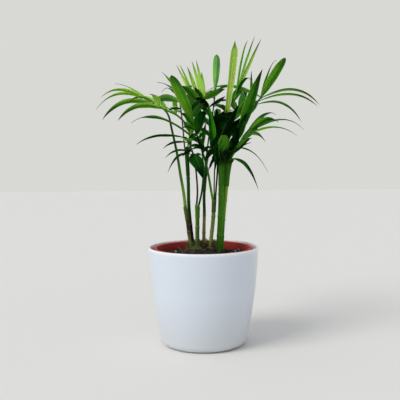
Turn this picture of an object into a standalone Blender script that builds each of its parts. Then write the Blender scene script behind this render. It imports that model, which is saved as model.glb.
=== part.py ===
# A young bamboo palm in a red-brown nursery pot, standing in a white cover pot.
# Seven canes rise from the potting soil, and each carries one to three pinnate fronds.
# Sizes and places are in millimetres, and MM turns them into Blender's metres.
# +X is to the right, +Y is to the back and +Z is up. The origin is the middle of the cover pot's underside.

import math
from collections import namedtuple

import bmesh
import bpy
from mathutils import Matrix, Vector
from mathutils.bvhtree import BVHTree

MM = 0.001
GAP = 0.3  # clearance between pieces that rest against each other

# Cover pot: a cone whose side swells a little, with a rounded lower edge
COVER_HEIGHT = 116.0
COVER_RIM_RADIUS = 65.0
COVER_FOOT_RADIUS = 49.7  # where the side would meet the ground without the rounded edge
COVER_SWELL = 3.15
COVER_EDGE = 9.8
COVER_WALL = 2.2
COVER_FLOOR = 3.0
COVER_STEPS = 36

# Nursery pot: a thin straight-sided cone with a lip and drain holes
NURSERY_HEIGHT = 111.7
NURSERY_FOOT_RADIUS = 38.5
NURSERY_RIM_RADIUS = 56.4
NURSERY_WALL = 1.2
NURSERY_LIP = 1.8
NURSERY_LIP_HEIGHT = 6.0
NURSERY_FLOOR = 1.6
NURSERY_STEPS = 32
DRAIN_HOLES = 5
DRAIN_HOLE_RADIUS = 3.5
DRAIN_RING_RADIUS = 24.0
NURSERY_BASE = COVER_FLOOR + GAP

# Soil: level near the wall, with a low mound that the canes rise from
SOIL_LEVEL = 106.5
SOIL_STEPS = 32
MOUND_CENTRE = (1.0, 9.0)
MOUND_HEIGHT = 6.5
MOUND_RADIUS = 24.0
ROOT_DEPTH = 22.0  # how far each cane goes down into its hole

# The plant's places are read off its front elevation: x to the right and z up on the plane through
# the pots' axis, as seen from EYE. The third figure y, the depth behind that plane, moves a point
# along its line of sight, so that the front elevation stays as it is drawn.
EYE = Vector((0.0, -820.0, 232.0))

CANE_SIDES = 8
CANE_STEPS = 6
NODE_SWELL = 1.16  # a node ring against the cane below it
NODE_HALF_LENGTH = 1.3
PETIOLE_SIDES = 5
PETIOLE_STEPS = 10
SEAT_GAP = 0.3

# Leaflet: share of its length against share of its full width
LEAF_OUTLINE = ((0.0, 0.24), (0.15, 0.75), (0.37, 1.0), (0.62, 0.80), (0.83, 0.41), (1.0, 0.0))
LEAF_DROOP_AT = 0.62  # where along its length a leaflet bends most
LEAF_FOLD = 0.06  # height of the roof-shaped fold against the width
LEAF_THICKNESS = 0.6
ROOT_SHARE_MOST = 0.99  # the last leaflets stand just short of the line's end

# Bending clear: leaflets that would cross are moved along their lines of sight, in this order
CLEAR_MARGIN = 0.35
CLEAR_STEP = 5.0
CLEAR_STEPS_MOST = 17

WHITE_PLASTIC = ((0.80, 0.83, 0.88), 0.32)
RED_PLASTIC = ((0.33, 0.035, 0.02), 0.5)
POTTING_SOIL = ((0.02, 0.014, 0.01), 0.95)
BROWN_CANE = ((0.10, 0.085, 0.05), 0.6)
GREEN_CANE = ((0.07, 0.20, 0.03), 0.5)
DARK_LEAF = ((0.02, 0.12, 0.015), 0.4)
MID_LEAF = ((0.04, 0.22, 0.02), 0.4)
LIGHT_LEAF = ((0.16, 0.42, 0.04), 0.4)

Cane = namedtuple("Cane", "finish foot_radius top_radius nodes line")
Frond = namedtuple("Frond", "finish cane seat petiole tip_radius line leaflets")

# Canes: the line runs from the soil to the top node, as (x, z, y)
CANES = {
    "cane_left_front": Cane(BROWN_CANE, 2.0, 1.9, (132, 146), [
        (-14.6, 113, 10), (-17.0, 130, 10), (-18.6, 145, 10), (-20.6, 158, 10)]),
    "cane_left_tall": Cane(GREEN_CANE, 2.1, 2.0, (140, 168, 196), [
        (-12.0, 114, 17), (-14.6, 138, 17), (-16.9, 165, 17), (-17.2, 192, 17), (-18.4, 222, 17)]),
    "cane_centre_left": Cane(GREEN_CANE, 2.5, 2.4, (138,), [
        (-7.0, 113, 4), (-7.1, 130, 4), (-6.8, 147, 4), (-6.6, 163, 4)]),
    "cane_centre_thin": Cane(BROWN_CANE, 2.1, 1.6, (131, 152), [
        (0.6, 114, 12), (0.8, 135, 12), (1.4, 155, 12), (1.3, 176, 12), (2.8, 198, 12)]),
    "cane_centre_right": Cane(GREEN_CANE, 2.2, 2.3, (134, 151), [
        (8.2, 113, 6), (9.9, 130, 6), (12.0, 150, 6), (13.0, 170, 6)]),
    "cane_right_front": Cane(GREEN_CANE, 3.1, 3.0, (129, 152, 178), [
        (18.6, 109, -3), (19.2, 130, -3), (20.4, 152, -3), (21.2, 176, -3), (21.8, 214, -3)]),
    "cane_right_back": Cane(GREEN_CANE, 2.3, 3.3, (126, 147, 170), [
        (21.8, 111, 8), (22.4, 130, 8), (23.8, 152, 8), (26.0, 176, 7), (29.8, 215, 5)]),
}

# Fronds: the line runs from the cane's top node out to the last leaflet, as (x, z, y).
# A leaflet is (share of the line, x, z and y of its tip, rise of its arch, width, share that its face is turned to the eye).
FRONDS = {
    "frond_left_arch": Frond(LIGHT_LEAF, "cane_left_front", (0, 0), 1.9, 0.9, [
        (-22.6, 178, 9), (-26.2, 200, 7), (-30.5, 228, 4), (-36, 254, 0), (-40, 271, -4),
        (-49, 281, -9), (-60, 287.5, -14), (-70, 292, -18)], [
        (1.00, -118, 292, -40, 9.5, 6, 0.4),
        (0.97, -124.5, 277.5, -28, 13, 6, 0.4),
        (0.95, -102, 307.5, 22, 3.5, 4, 0.3),
        (0.90, -88, 283.5, -50, 8, 8, 0.5),
        (0.85, -58, 292, -40, 5, 8, 0.3),
        (0.86, -74, 288, 26, 7, 8, -0.3)]),
    "frond_left_mid": Frond(LIGHT_LEAF, "cane_left_tall", (0.9, -1.0), 1.3, 1.1, [
        (-14, 238, 10), (-14.5, 249, 9), (-19, 260, 9), (-29, 270, 10), (-40, 275.5, 12), (-52, 281, 14)], [
        (0.96, -117.5, 265.5, 42, 17, 9, 0.5),
        (0.90, -99.5, 264, 14, 12, 9, 0.5),
        (0.33, -84, 261.5, -26, 13.5, 6, 0.45),
        (0.84, -62, 295, 50, 5, 7, 0.3),
        (0.70, -33, 291, 34, 4, 6, 0.2),
        (0.62, -44, 281.5, 30, 1, 3.5, 0.2),
        (0.30, -4, 272, -22, 4, 6, 0.4),
        (0.20, -25, 243, 20, 4, 6, 0.4)]),
    "frond_left_high": Frond(MID_LEAF, "cane_left_tall", (-1.3, 0.2), 0.9, 0.7, [
        (-21.3, 235, 20), (-22.5, 250, 21), (-24, 268, 20), (-25.5, 280, 17), (-27, 291, 13), (-28.5, 301, 8)], [
        (0.80, -58, 284, 0, 6.5, 10, 0.6),
        (0.95, -53, 308.5, 40, 3, 3.5, 0.2),
        (0.86, -47.5, 297, 44, 8, 3.5, 0.2),
        (1.00, -47, 320.5, 25, 1, 5, 0.2),
        (0.70, -40, 275.5, -20, 3, 6, 0.55),
        (0.64, -33, 275, 30, 2, 5, 0.2),
        (0.92, -8, 302, 50, 5, 9, 0.2)]),
    "frond_fan": Frond(LIGHT_LEAF, "cane_centre_left", (1.3, 0.6), 0.9, 0.8, [
        (-1.5, 180, 16), (0.3, 196, 20), (0.5, 212, 24), (-1, 232, 28), (-3, 252, 30),
        (-6, 270, 31), (-7, 281, 32), (-3, 288, 33), (4, 291, 34)], [
        (0.88, -30, 329, 48, 1, 4.5, 0.45),
        (0.90, -26, 329.5, 62, 1, 4, 0.2),
        (0.93, -17.5, 327, 54, 1, 6, 0.6),
        (0.96, -12, 333.5, 66, 1, 4.5, 0.45),
        (0.98, -7, 334.5, 58, 1, 4.5, 0.2),
        (1.00, -0.5, 320.5, 46, 1, 5, 0.45),
        (0.93, -25, 304.5, -8, 4, 11, 0.35),
        (0.97, 27, 300.5, 4, 2, 10, 0.45),
        (1.00, 40, 303, 60, 5, 4.5, 0.3),
        (0.90, 14, 300, 50, 3, 7, 0.2),
        (0.85, -22, 295, -12, 4, 9, 0.35),
        (0.80, -24, 276, 20, 4, 8, 0.35),
        (0.72, 6, 262, 8, 4, 7, 0.35),
        (0.95, -21, 303, 14, 2, 9, 0.3),
        (0.97, -9, 303, 12, 1, 8, 0.3)]),
    "frond_centre_back": Frond(MID_LEAF, "cane_centre_thin", (-0.9, -0.9), 1.0, 0.7, [
        (3.6, 215, 12), (6, 235, 15), (9, 255, 19), (12, 272, 25), (14, 288, 32), (15.5, 301, 38)], [
        (0.87, 17.2, 340.5, 66, 2, 9, 0.2),
        (0.80, 27, 292, -4, 0, 4.5, 0.35),
        (0.84, 36, 286.5, 8, 2, 4.5, 0.35),
        (0.70, -6, 262, 64, 8, 10, 0.2),
        (0.78, 30, 268, 68, 8, 10, 0.2),
        (0.88, -2, 291, 72, 6, 8, 0.2),
        (0.94, 34, 298, 76, 7, 7, 0.2),
        (0.66, 2, 268, -16, 5, 6, 0.35)]),
    "frond_upright": Frond(LIGHT_LEAF, "cane_centre_right", (0.2, 1.3), 0.8, 0.8, [
        (13.3, 190, 12), (14.2, 210, 12), (17, 230, 11), (21.5, 250, 10), (26.5, 266, 10),
        (33, 281, 12), (40, 294, 15)], [
        (0.78, 38.5, 356.5, 11, 0, 10, 0.2),
        (1.00, 53.5, 356, 40, 9, 3, 0.2),
        (0.98, 61.5, 361, 28, 3, 4.5, 0.3),
        (0.95, 69, 358, 14, 3, 6, 0.4),
        (0.98, 57.5, 310, -10, 9, 4.5, 0.35),
        (0.90, 52, 289, 48, 14, 10, 0.35),
        (0.36, 8, 268, 34, 2, 8, 0.2),
        (0.42, 17, 279, 44, 1, 12, 0.2),
        (0.48, 29, 277, 34, 1, 15, 0.2),
        (0.54, 43, 283, 28, 1, 16, 0.35),
        (0.50, 47, 268, -12, 3, 14, 0.45),
        (0.40, 36, 260, -20, 3, 14, 0.45)]),
    "frond_right_arch": Frond(MID_LEAF, "cane_right_back", (1.2, 0.9), 1.9, 0.8, [
        (36, 228, 6), (41, 242, 4), (48, 258, 2), (56, 272, 0), (63, 283, -2), (69, 291.5, -4)], [
        (1.00, 97, 336, -36, 2, 10, 0.7),
        (0.97, 87, 333, 26, 9, 3, 0.2),
        (0.96, 137, 280.5, 20, 15, 5, 0.45),
        (0.92, 135, 279, 52, 13, 4.5, 0.45),
        (0.86, 116, 261, 46, 14, 4.5, 0.45),
        (0.42, 70.5, 323.5, -54, 1, 12, 0.7),
        (0.30, 52, 273, -24, 2, 9, 0.6),
        (0.22, 40, 257, -20, 2, 9, 0.6),
        (0.80, 57.5, 322, 50, 0, 4, 0.2),
        (0.70, 66, 286, 58, 5, 9, 0.2),
        (0.99, 4, 298, 60, 13, 7.5, 0.35),
        (0.10, 43, 240, 14, 1, 6, 0.3)]),
    "frond_right_low": Frond(MID_LEAF, "cane_right_back", (-0.4, -2.3), 1.2, 0.8, [
        (37, 226, -6), (42, 236, -11), (48, 244, -15), (56, 251, -19)], [
        (1.00, 119.5, 251.5, 4, 13, 5, 0.45),
        (0.95, 89, 261, -44, 9, 9, 0.45),
        (0.88, 111.5, 244.5, -52, 10, 5.5, 0.45),
        (0.70, 74, 238, -64, 9, 7.5, 0.4),
        (0.85, 86, 270, 24, 10, 6, 0.35),
        (0.55, 76, 268, -24, 3, 9, 0.55),
        (0.30, 58, 243, -40, 4, 7, 0.45),
        (0.10, 65.4, 182, -40, 14, 6, 0.35),
        (0.40, 66, 253, -60, 6, 6, 0.4)]),
    "frond_right_skirt": Frond(DARK_LEAF, "cane_right_back", (-2.1, 0.5), 1.0, 0.8, [
        (31, 221, 2), (33, 227, -2), (36, 232, -4)], [
        (1.00, 77, 202, 14, 12, 4, 0.3),
        (0.85, 57, 238, 34, 1, 6, 0.2),
        (0.70, 24, 221, -44, 5, 9, 0.2),
        (0.95, 34, 244, 10, 1, 7, 0.2),
        (0.35, 31, 240, 6, 1, 10, 0.2),
        (0.03, 27, 232, 6, 1, 6, 0.2)]),
    "frond_left_skirt": Frond(DARK_LEAF, "cane_centre_left", (-1.2, -0.6), 1.2, 0.7, [
        (-6.5, 180, 3), (-7.5, 200, 0), (-9.5, 216, -5), (-12, 228, -10), (-16, 238, -14), (-21, 245, -18)], [
        (0.70, -41.5, 203, -38, 12, 5, 0.3),
        (0.76, -44, 220.5, -28, 6, 5, 0.35),
        (0.90, -46.5, 231.5, 10, 5, 5, 0.35),
        (1.00, -78, 236.5, -42, 7, 7, 0.3),
        (0.74, 0.5, 195, -34, 5, 17, 0.3),
        (0.66, -1, 212, -46, 5, 8, 0.35),
        (0.80, 6, 226, -42, 5, 7, 0.35),
        (0.92, -2, 248, -40, 4, 6, 0.35),
        (0.70, -1, 223, -20, 2, 6, 0.5),
        (0.86, -2, 232, -28, 2, 6, 0.5),
        (0.96, -6, 239, -40, 2, 5, 0.5),
        (0.80, -24, 222, -20, 2, 5, 0.5)]),
    "frond_front_left": Frond(MID_LEAF, "cane_centre_right", (-1.4, -0.5), 1.5, 0.8, [
        (8.3, 190, 2), (6.3, 202, 0), (3, 217, -6), (-2, 233, -13), (-7, 248, -21), (-11, 262, -28), (-13, 274, -34)], [
        (0.90, -36, 317, -88, 3, 12.5, 0.2),
        (0.76, -2, 284, -46, 2, 8, 0.5),
        (0.74, 5, 280, -34, 2, 8, 0.5),
        (0.70, 9, 251.5, -34, 3, 5, 0.5),
        (0.72, 3, 228, -36, 1, 6, 0.5),
        (0.84, -26, 272, -62, 5, 6, 0.45),
        (0.80, -25, 254, -50, 4, 6, 0.5),
        (0.64, -17, 246, -30, 3, 6, 0.5),
        (1.00, -2, 288, -74, 3, 7.5, 0.3),
        (0.94, 3, 284, -60, 3, 7.5, 0.45),
        (0.97, -22, 290, -60, 3, 6, 0.45),
        (0.56, 4, 262, -10, 3, 5, 0.5)]),
    "frond_front": Frond(DARK_LEAF, "cane_centre_right", (1.5, -0.6), 1.1, 0.8, [
        (16, 190, 4), (17, 202, 0), (17.5, 214, -6), (18, 226, -13), (16.5, 240, -22), (13, 256, -32),
        (9.5, 270, -40), (7, 283, -46)], [
        (1.00, 12.5, 242.5, -80, 4, 7.5, 0.35),
        (0.74, 37, 274, -22, 4, 14, 0.45),
        (0.70, 25, 275, -44, 3, 14, 0.2),
        (0.80, 33, 264, -72, 6, 13, 0.45),
        (0.86, 20, 244, -66, 3, 10, 0.5),
        (0.90, -8, 280, -70, 3, 6, 0.4),
        (0.97, 27, 292, -60, 1, 4, 0.35),
        (0.97, -8, 290.5, -50, 2, 9, 0.5)]),
    "frond_back": Frond(MID_LEAF, "cane_centre_thin", (0.9, 0.9), 1.1, 0.7, [
        (5, 214, 22), (9, 232, 34), (13, 246, 47), (15, 256, 60), (16, 263, 74)], [
        (0.50, 38, 246, 62, 8, 10, 0.2),
        (0.60, -14, 252, 68, 8, 10, 0.2),
        (0.70, 44, 258, 84, 9, 10, 0.2),
        (0.76, -12, 268, 86, 8, 10, 0.2),
        (0.86, 37, 274, 102, 8, 10, 0.2),
        (0.92, -4, 280, 106, 8, 9, 0.2),
        (1.00, 20, 274, 118, 8, 9, 0.2)]),
    "frond_back_left": Frond(MID_LEAF, "cane_left_tall", (0.4, 1.4), 0.9, 0.7, [
        (-17, 236, 27), (-14, 250, 40), (-12, 262, 54), (-12, 270, 68)], [
        (0.50, -22, 260, 66, 6, 9, 0.2),
        (0.60, -20, 276, 70, 6, 9, 0.2),
        (0.70, 6, 262, 80, 7, 9, 0.2),
        (0.82, -24, 288, 90, 7, 9, 0.2),
        (0.90, 4, 282, 100, 7, 9, 0.2),
        (1.00, -12, 290, 106, 7, 9, 0.2)]),
    "frond_back_right": Frond(MID_LEAF, "cane_right_front", (1.2, 1.4), 1.1, 0.7, [
        (25.5, 228, 12), (28, 242, 24), (33, 256, 38), (38, 268, 52), (43, 278, 66)], [
        (0.50, 47, 246, 52, 6, 9, 0.2),
        (0.60, 14, 262, 62, 7, 9, 0.2),
        (0.72, 54, 276, 82, 6, 9, 0.2),
        (0.85, 62, 290, 94, 7, 9, 0.2),
        (0.90, 30, 286, 92, 7, 9, 0.2),
        (1.00, 52, 296, 104, 7, 9, 0.2)]),
    "frond_low_centre": Frond(DARK_LEAF, "cane_right_front", (-1.7, -0.9), 1.0, 0.7, [
        (20, 221, -13), (15.5, 228, -23), (10, 233, -32)], [
        (0.45, 6, 203, -42, 5, 4.5, 0.2),
        (0.60, 9, 208, -26, 3, 4.5, 0.2),
        (0.75, 2, 213, -54, 6, 6, 0.2),
        (0.90, -1, 222, -64, 6, 6, 0.2),
        (0.66, 15, 206, -52, 5, 4.5, 0.2),
        (1.00, 18, 240, -74, 6, 8, 0.2)]),
}

SPEAR = dict(finish=LIGHT_LEAF, cane="cane_right_front", seat=(0.7, -1.4), radii=(0.9, 5.0, 6.9, 5.9, 3.6), line=[
    (23.5, 228, -8), (24.8, 235.5, -10), (25.3, 241.5, -12), (25.3, 246.5, -13)])


def seen(x, z, y):
    """The point at depth y that the eye sees at (x, z) on the front elevation."""
    return EYE.lerp(Vector((x, 0.0, z)), (y - EYE.y) / -EYE.y)


def smooth_line(points, steps):
    """Evenly spaced points along a smooth curve through the given ones."""
    ends = [2 * points[0] - points[1], *points, 2 * points[-1] - points[-2]]
    fine = []
    for a, b, c, d in zip(ends, ends[1:], ends[2:], ends[3:]):
        for i in range(8):
            t = i / 8
            fine.append(0.5 * ((2 * b) + (c - a) * t + (2 * a - 5 * b + 4 * c - d) * t ** 2
                               + (3 * b - a - 3 * c + d) * t ** 3))
    fine.append(points[-1])
    return [point_on(fine, i / (steps - 1)) for i in range(steps)]


def point_on(line, share):
    """The point at a share of a polyline's length."""
    lengths = [(b - a).length for a, b in zip(line, line[1:])]
    left = share * sum(lengths)
    for a, b, length in zip(line, line[1:], lengths):
        if left <= length:
            return a.lerp(b, left / length)
        left -= length
    return line[-1].copy()


def tangents(line):
    """The direction of a polyline at each of its points."""
    after = line[1:] + line[-1:]
    before = line[:1] + line[:-1]
    return [(b - a).normalized() for a, b in zip(before, after)]


def mesh_from(rings, name):
    """A closed mesh through rings of equally many points. A ring of one point is a tip."""
    bm = bmesh.new()
    loops = [[bm.verts.new(p * MM) for p in ring] for ring in rings]
    for low, high in zip(loops, loops[1:]):
        count = max(len(low), len(high))
        for i in range(count):
            j = (i + 1) % count
            corners = [low[i % len(low)], low[j % len(low)], high[j % len(high)], high[i % len(high)]]
            bm.faces.new(dict.fromkeys(corners))
    for ring in (loops[0], loops[-1]):
        if len(ring) > 2:
            bm.faces.new(ring)
    bmesh.ops.recalc_face_normals(bm, faces=bm.faces)
    bmesh.ops.triangulate(bm, faces=bm.faces)
    mesh = bpy.data.meshes.new(name)
    bm.to_mesh(mesh)
    bm.free()
    return mesh


def tube(name, line, radii, sides, flat=()):
    """A round bar along a line, with one radius for each of its points. An end listed in flat is level."""
    rings = []
    side = Vector((1.0, 0.0, 0.0))
    for point, along, radius in zip(line, tangents(line), radii):
        side = (side - along * side.dot(along)).normalized()
        other = along.cross(side)
        turns = [2 * math.pi * i / sides for i in range(sides)]
        rings.append([point + radius * (math.cos(a) * side + math.sin(a) * other) for a in turns])
    for end in flat:
        for corner in rings[end]:
            corner.z = line[end].z
    return mesh_from(rings, name)


def leaflet_rib(root, tip, rise):
    """The midrib of a leaflet, an arch in the upright plane through its root and its tip."""
    bend = root.lerp(tip, LEAF_DROOP_AT) + Vector((0.0, 0.0, 2 * rise))
    return [root * (1 - t) ** 2 + bend * (2 * t * (1 - t)) + tip * t ** 2 for t, _ in LEAF_OUTLINE]


def leaflet_side(root, tip, facing):
    """Across the blade: level at facing 0, and square to the line of sight at facing 1."""
    chord = tip - root
    level = Vector((chord.y, -chord.x, 0.0)).normalized()
    square = chord.cross((root + tip) / 2 - EYE).normalized()
    if square.dot(level) < 0:
        square = -square
    return (level * (1 - abs(facing)) + square * facing).normalized()


def leaflet(name, root, tip, rise, width, facing, margin=0.0, first=0):
    """A roof-shaped blade along its midrib. A margin makes it larger all round, to test what it clears."""
    rib = leaflet_rib(root, tip, rise)
    across = leaflet_side(root, tip, facing)
    rings = []
    for point, along, (_, share) in list(zip(rib, tangents(rib), LEAF_OUTLINE))[first:]:
        side = (across - along * across.dot(along)).normalized()
        up = side.cross(along)
        half = share * width / 2 + 2 * margin
        fold = LEAF_THICKNESS + LEAF_FOLD * share * width
        if share or margin:
            centre = point if share else point + 2 * margin * along
            rings.append([centre - half * side - (fold / 2 + margin) * up, centre + (fold / 2 + margin) * up,
                          centre + half * side - (fold / 2 + margin) * up])
        else:
            rings.append([point])
    return mesh_from(rings, name)


def tree_of(mesh):
    """A search tree of the mesh's faces."""
    return BVHTree.FromPolygons([v.co for v in mesh.vertices], [p.vertices for p in mesh.polygons])


def finish_material(name, finish):
    """A material with the finish's colour and roughness."""
    colour, roughness = finish
    material = bpy.data.materials.new(name)
    material.use_nodes = True
    shader = material.node_tree.nodes["Principled BSDF"]
    shader.inputs["Base Color"].default_value = (*colour, 1.0)
    shader.inputs["Roughness"].default_value = roughness
    shader.inputs["Metallic"].default_value = 0.0
    material.diffuse_color = (*colour, 1.0)
    return material


def add_object(mesh, finish):
    """An object of the mesh, with smooth shading up to a fold of 40 degrees."""
    obj = bpy.data.objects.new(mesh.name, mesh)
    bpy.context.scene.collection.objects.link(obj)
    mesh.materials.append(finish_material(mesh.name, finish))
    mesh.shade_smooth()
    mesh.set_sharp_from_angle(angle=math.radians(40))
    return obj


def stand_at(obj, point, parent):
    """Puts the object's origin at the point, with its shape where it was, and parents it."""
    obj.data.transform(Matrix.Translation(-point * MM))
    obj.location = point * MM
    obj.parent = parent


def apply_boolean(obj, others, operation, solver="EXACT"):
    """Joins or cuts an object with the others in one Boolean, applies it and removes the others."""
    helpers = bpy.data.collections.new("helpers")
    bpy.context.scene.collection.children.link(helpers)
    for other in others:
        bpy.context.scene.collection.objects.unlink(other)
        helpers.objects.link(other)
    boolean = obj.modifiers.new("join", "BOOLEAN")
    boolean.operation = operation
    boolean.operand_type = "COLLECTION"
    boolean.collection = helpers
    boolean.solver = solver
    graph = bpy.context.evaluated_depsgraph_get()
    result = bpy.data.meshes.new_from_object(obj.evaluated_get(graph))
    obj.modifiers.clear()
    result.name, obj.data.name = obj.data.name, "unused"
    obj.data = result
    for other in others:
        bpy.data.objects.remove(other)
    bpy.data.collections.remove(helpers)


def turned(name, profile, steps):
    """A mesh turned about Z from a profile of (radius, height) whose two ends are on the axis."""
    bm = bmesh.new()
    points = [bm.verts.new(Vector((r, 0.0, z)) * MM) for r, z in profile]
    edges = [bm.edges.new(pair) for pair in zip(points, points[1:])]
    bmesh.ops.spin(bm, geom=points + edges, cent=(0, 0, 0), axis=(0, 0, 1), angle=2 * math.pi, steps=steps,
                   use_merge=True)
    bmesh.ops.remove_doubles(bm, verts=bm.verts, dist=0.01 * MM)
    bmesh.ops.recalc_face_normals(bm, faces=bm.faces)
    mesh = bpy.data.meshes.new(name)
    bm.to_mesh(mesh)
    bm.free()
    return mesh


def cover_radius(z):
    share = z / COVER_HEIGHT
    cone = COVER_FOOT_RADIUS + (COVER_RIM_RADIUS - COVER_FOOT_RADIUS) * share
    return cone + 4 * COVER_SWELL * share * (1 - share)


def cover_pot():
    heights = [COVER_EDGE + (COVER_HEIGHT - COVER_EDGE) * i / 4 for i in range(5)]
    edge = []
    for i in range(4):
        angle = math.radians(90 * i / 4)
        radius = cover_radius(COVER_EDGE) - COVER_EDGE * (1 - math.sin(angle))
        edge.append((radius, COVER_EDGE * (1 - math.cos(angle))))
    inner_edge = [(r - COVER_WALL, max(z, COVER_FLOOR)) for r, z in edge[1:]]
    inner = [(cover_radius(z) - COVER_WALL, z) for z in heights[:-1]]
    rim = [(COVER_RIM_RADIUS - COVER_WALL, COVER_HEIGHT - 0.6), (COVER_RIM_RADIUS - COVER_WALL / 2, COVER_HEIGHT),
           (COVER_RIM_RADIUS, COVER_HEIGHT - 0.6)]
    outer = [(cover_radius(z), z) for z in heights[:-1]]
    profile = [(0, COVER_FLOOR), *inner_edge[1:], *inner, *rim, *reversed(outer), *reversed(edge), (0, 0)]
    return add_object(turned("cover_pot", profile, COVER_STEPS), WHITE_PLASTIC)


def nursery_radius(z):
    """The nursery pot's outer radius below its lip."""
    share = (z - NURSERY_BASE) / NURSERY_HEIGHT
    return NURSERY_FOOT_RADIUS + (NURSERY_RIM_RADIUS - NURSERY_FOOT_RADIUS) * share


def nursery_pot():
    floor = NURSERY_BASE + NURSERY_FLOOR
    top = NURSERY_BASE + NURSERY_HEIGHT
    lip = NURSERY_RIM_RADIUS + NURSERY_LIP
    lip_foot = top - NURSERY_LIP_HEIGHT
    profile = [(0, floor), (nursery_radius(floor) - NURSERY_WALL, floor),
               (NURSERY_RIM_RADIUS - NURSERY_WALL, top - 0.5), (NURSERY_RIM_RADIUS, top), (lip, top - 0.8),
               (lip - 0.4, lip_foot), (nursery_radius(lip_foot), lip_foot - 0.4),
               (nursery_radius(NURSERY_BASE + 2), NURSERY_BASE + 2), (NURSERY_FOOT_RADIUS - 2, NURSERY_BASE),
               (0, NURSERY_BASE)]
    pot = add_object(turned("nursery_pot", profile, NURSERY_STEPS), RED_PLASTIC)
    drills = []
    for i in range(DRAIN_HOLES):
        angle = 2 * math.pi * (i + 0.3) / DRAIN_HOLES
        centre = Vector((math.cos(angle), math.sin(angle), 0)) * DRAIN_RING_RADIUS
        line = [centre + Vector((0, 0, z)) for z in (NURSERY_BASE - 1, floor + 1)]
        drills.append(add_object(tube("drill", line, [DRAIN_HOLE_RADIUS] * 2, 8), RED_PLASTIC))
    apply_boolean(pot, drills, "DIFFERENCE")
    return pot


def soil_height(x, y):
    away = math.hypot(x - MOUND_CENTRE[0], y - MOUND_CENTRE[1]) / MOUND_RADIUS
    return SOIL_LEVEL + MOUND_HEIGHT * math.exp(-away ** 4)


def point_at_height(line, z):
    """The point at a height on a polyline that rises all the way."""
    low, high = next(pair for pair in zip(line, line[1:]) if z <= pair[1].z)
    return low.lerp(high, (z - low.z) / (high.z - low.z))


def cane_line(cane):
    """The cane from the bottom of its hole to its top node, with points at its nodes, and its radii."""
    points = [seen(*p) for p in cane.line]
    foot = points[0]
    buried = foot.copy()
    buried.z -= ROOT_DEPTH
    line = smooth_line([buried, *points], CANE_STEPS)
    top = points[-1].z
    stops = [(p.z, 1.0) for p in line if all(abs(p.z - node) > 2 * NODE_HALF_LENGTH for node in cane.nodes)]
    for node in cane.nodes:
        stops += [(node - NODE_HALF_LENGTH, 1.0), (node, NODE_SWELL), (node + NODE_HALF_LENGTH, 1.0)]
    stops.sort()
    radii = []
    for z, swell in stops:
        share = max(0.0, (z - foot.z) / (top - foot.z))
        radii.append((cane.foot_radius + (cane.top_radius - cane.foot_radius) * share) * swell)
    return [point_at_height(line, z) for z, _ in stops], radii


def soil(cane_lines):
    bottom = NURSERY_BASE + NURSERY_FLOOR + GAP
    wall = NURSERY_WALL + GAP
    rings = [12, 24, 34, 44]
    profile = [(0, SOIL_LEVEL), *((r, SOIL_LEVEL) for r in rings),
               (nursery_radius(SOIL_LEVEL) - wall - 0.4, SOIL_LEVEL),
               (nursery_radius(bottom) - wall - 0.4, bottom), (0, bottom)]
    mesh = turned("soil", profile, SOIL_STEPS)
    for vertex in mesh.vertices:
        if vertex.co.z > (SOIL_LEVEL - 1) * MM:
            vertex.co.z = soil_height(vertex.co.x / MM, vertex.co.y / MM) * MM
    block = add_object(mesh, POTTING_SOIL)
    holes = []
    for line, radii in cane_lines.values():
        lower = [p for p in line if p.z < SOIL_LEVEL + 30]
        lower[0] = lower[0] - Vector((0, 0, GAP))
        wide = [r + GAP for r in radii[:len(lower)]]
        holes.append(add_object(tube("hole", lower, wide, CANE_SIDES), POTTING_SOIL))
    apply_boolean(block, holes, "DIFFERENCE")
    return block


def frond_line(frond, cane_tops):
    top = cane_tops[frond.cane]
    start = top + Vector((*frond.seat, SEAT_GAP))
    return smooth_line([start, *(seen(*p) for p in frond.line)], PETIOLE_STEPS)


def lay_leaflets(lines, obstacles):
    """Bends each leaflet clear. It moves along its line of sight until it crosses no other piece, and
    where there is room for that, no other leaflet of its own frond."""
    laid = {name: [] for name in lines}
    trees = []
    for name, frond in FRONDS.items():
        for share, x, z, y, rise, width, facing in frond.leaflets:
            root = point_on(lines[name], min(share, ROOT_SHARE_MOST))
            best = None
            for i in range(CLEAR_STEPS_MOST):
                shift = CLEAR_STEP * ((i + 1) // 2) * (1 if i % 2 else -1)
                shape = (root, seen(x, z, y + shift), rise, width, facing)
                whole = tree_of(leaflet("test", *shape, margin=CLEAR_MARGIN))
                outer = tree_of(leaflet("test", *shape, margin=CLEAR_MARGIN, first=1))
                others = [tree for n, tree in obstacles if n != name] + [tree for n, tree, _ in trees if n != name]
                if any(whole.overlap(tree) for tree in others):
                    continue
                best = best or shape
                if not any(outer.overlap(far) for n, _, far in trees if n == name):
                    best = shape
                    break
            if not best:
                print("no clear place for", name, share, x, z, y)
                best = shape
            laid[name].append(best)
            trees.append((name, tree_of(leaflet("test", *best)), tree_of(leaflet("test", *best, first=1))))
    return laid


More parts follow.
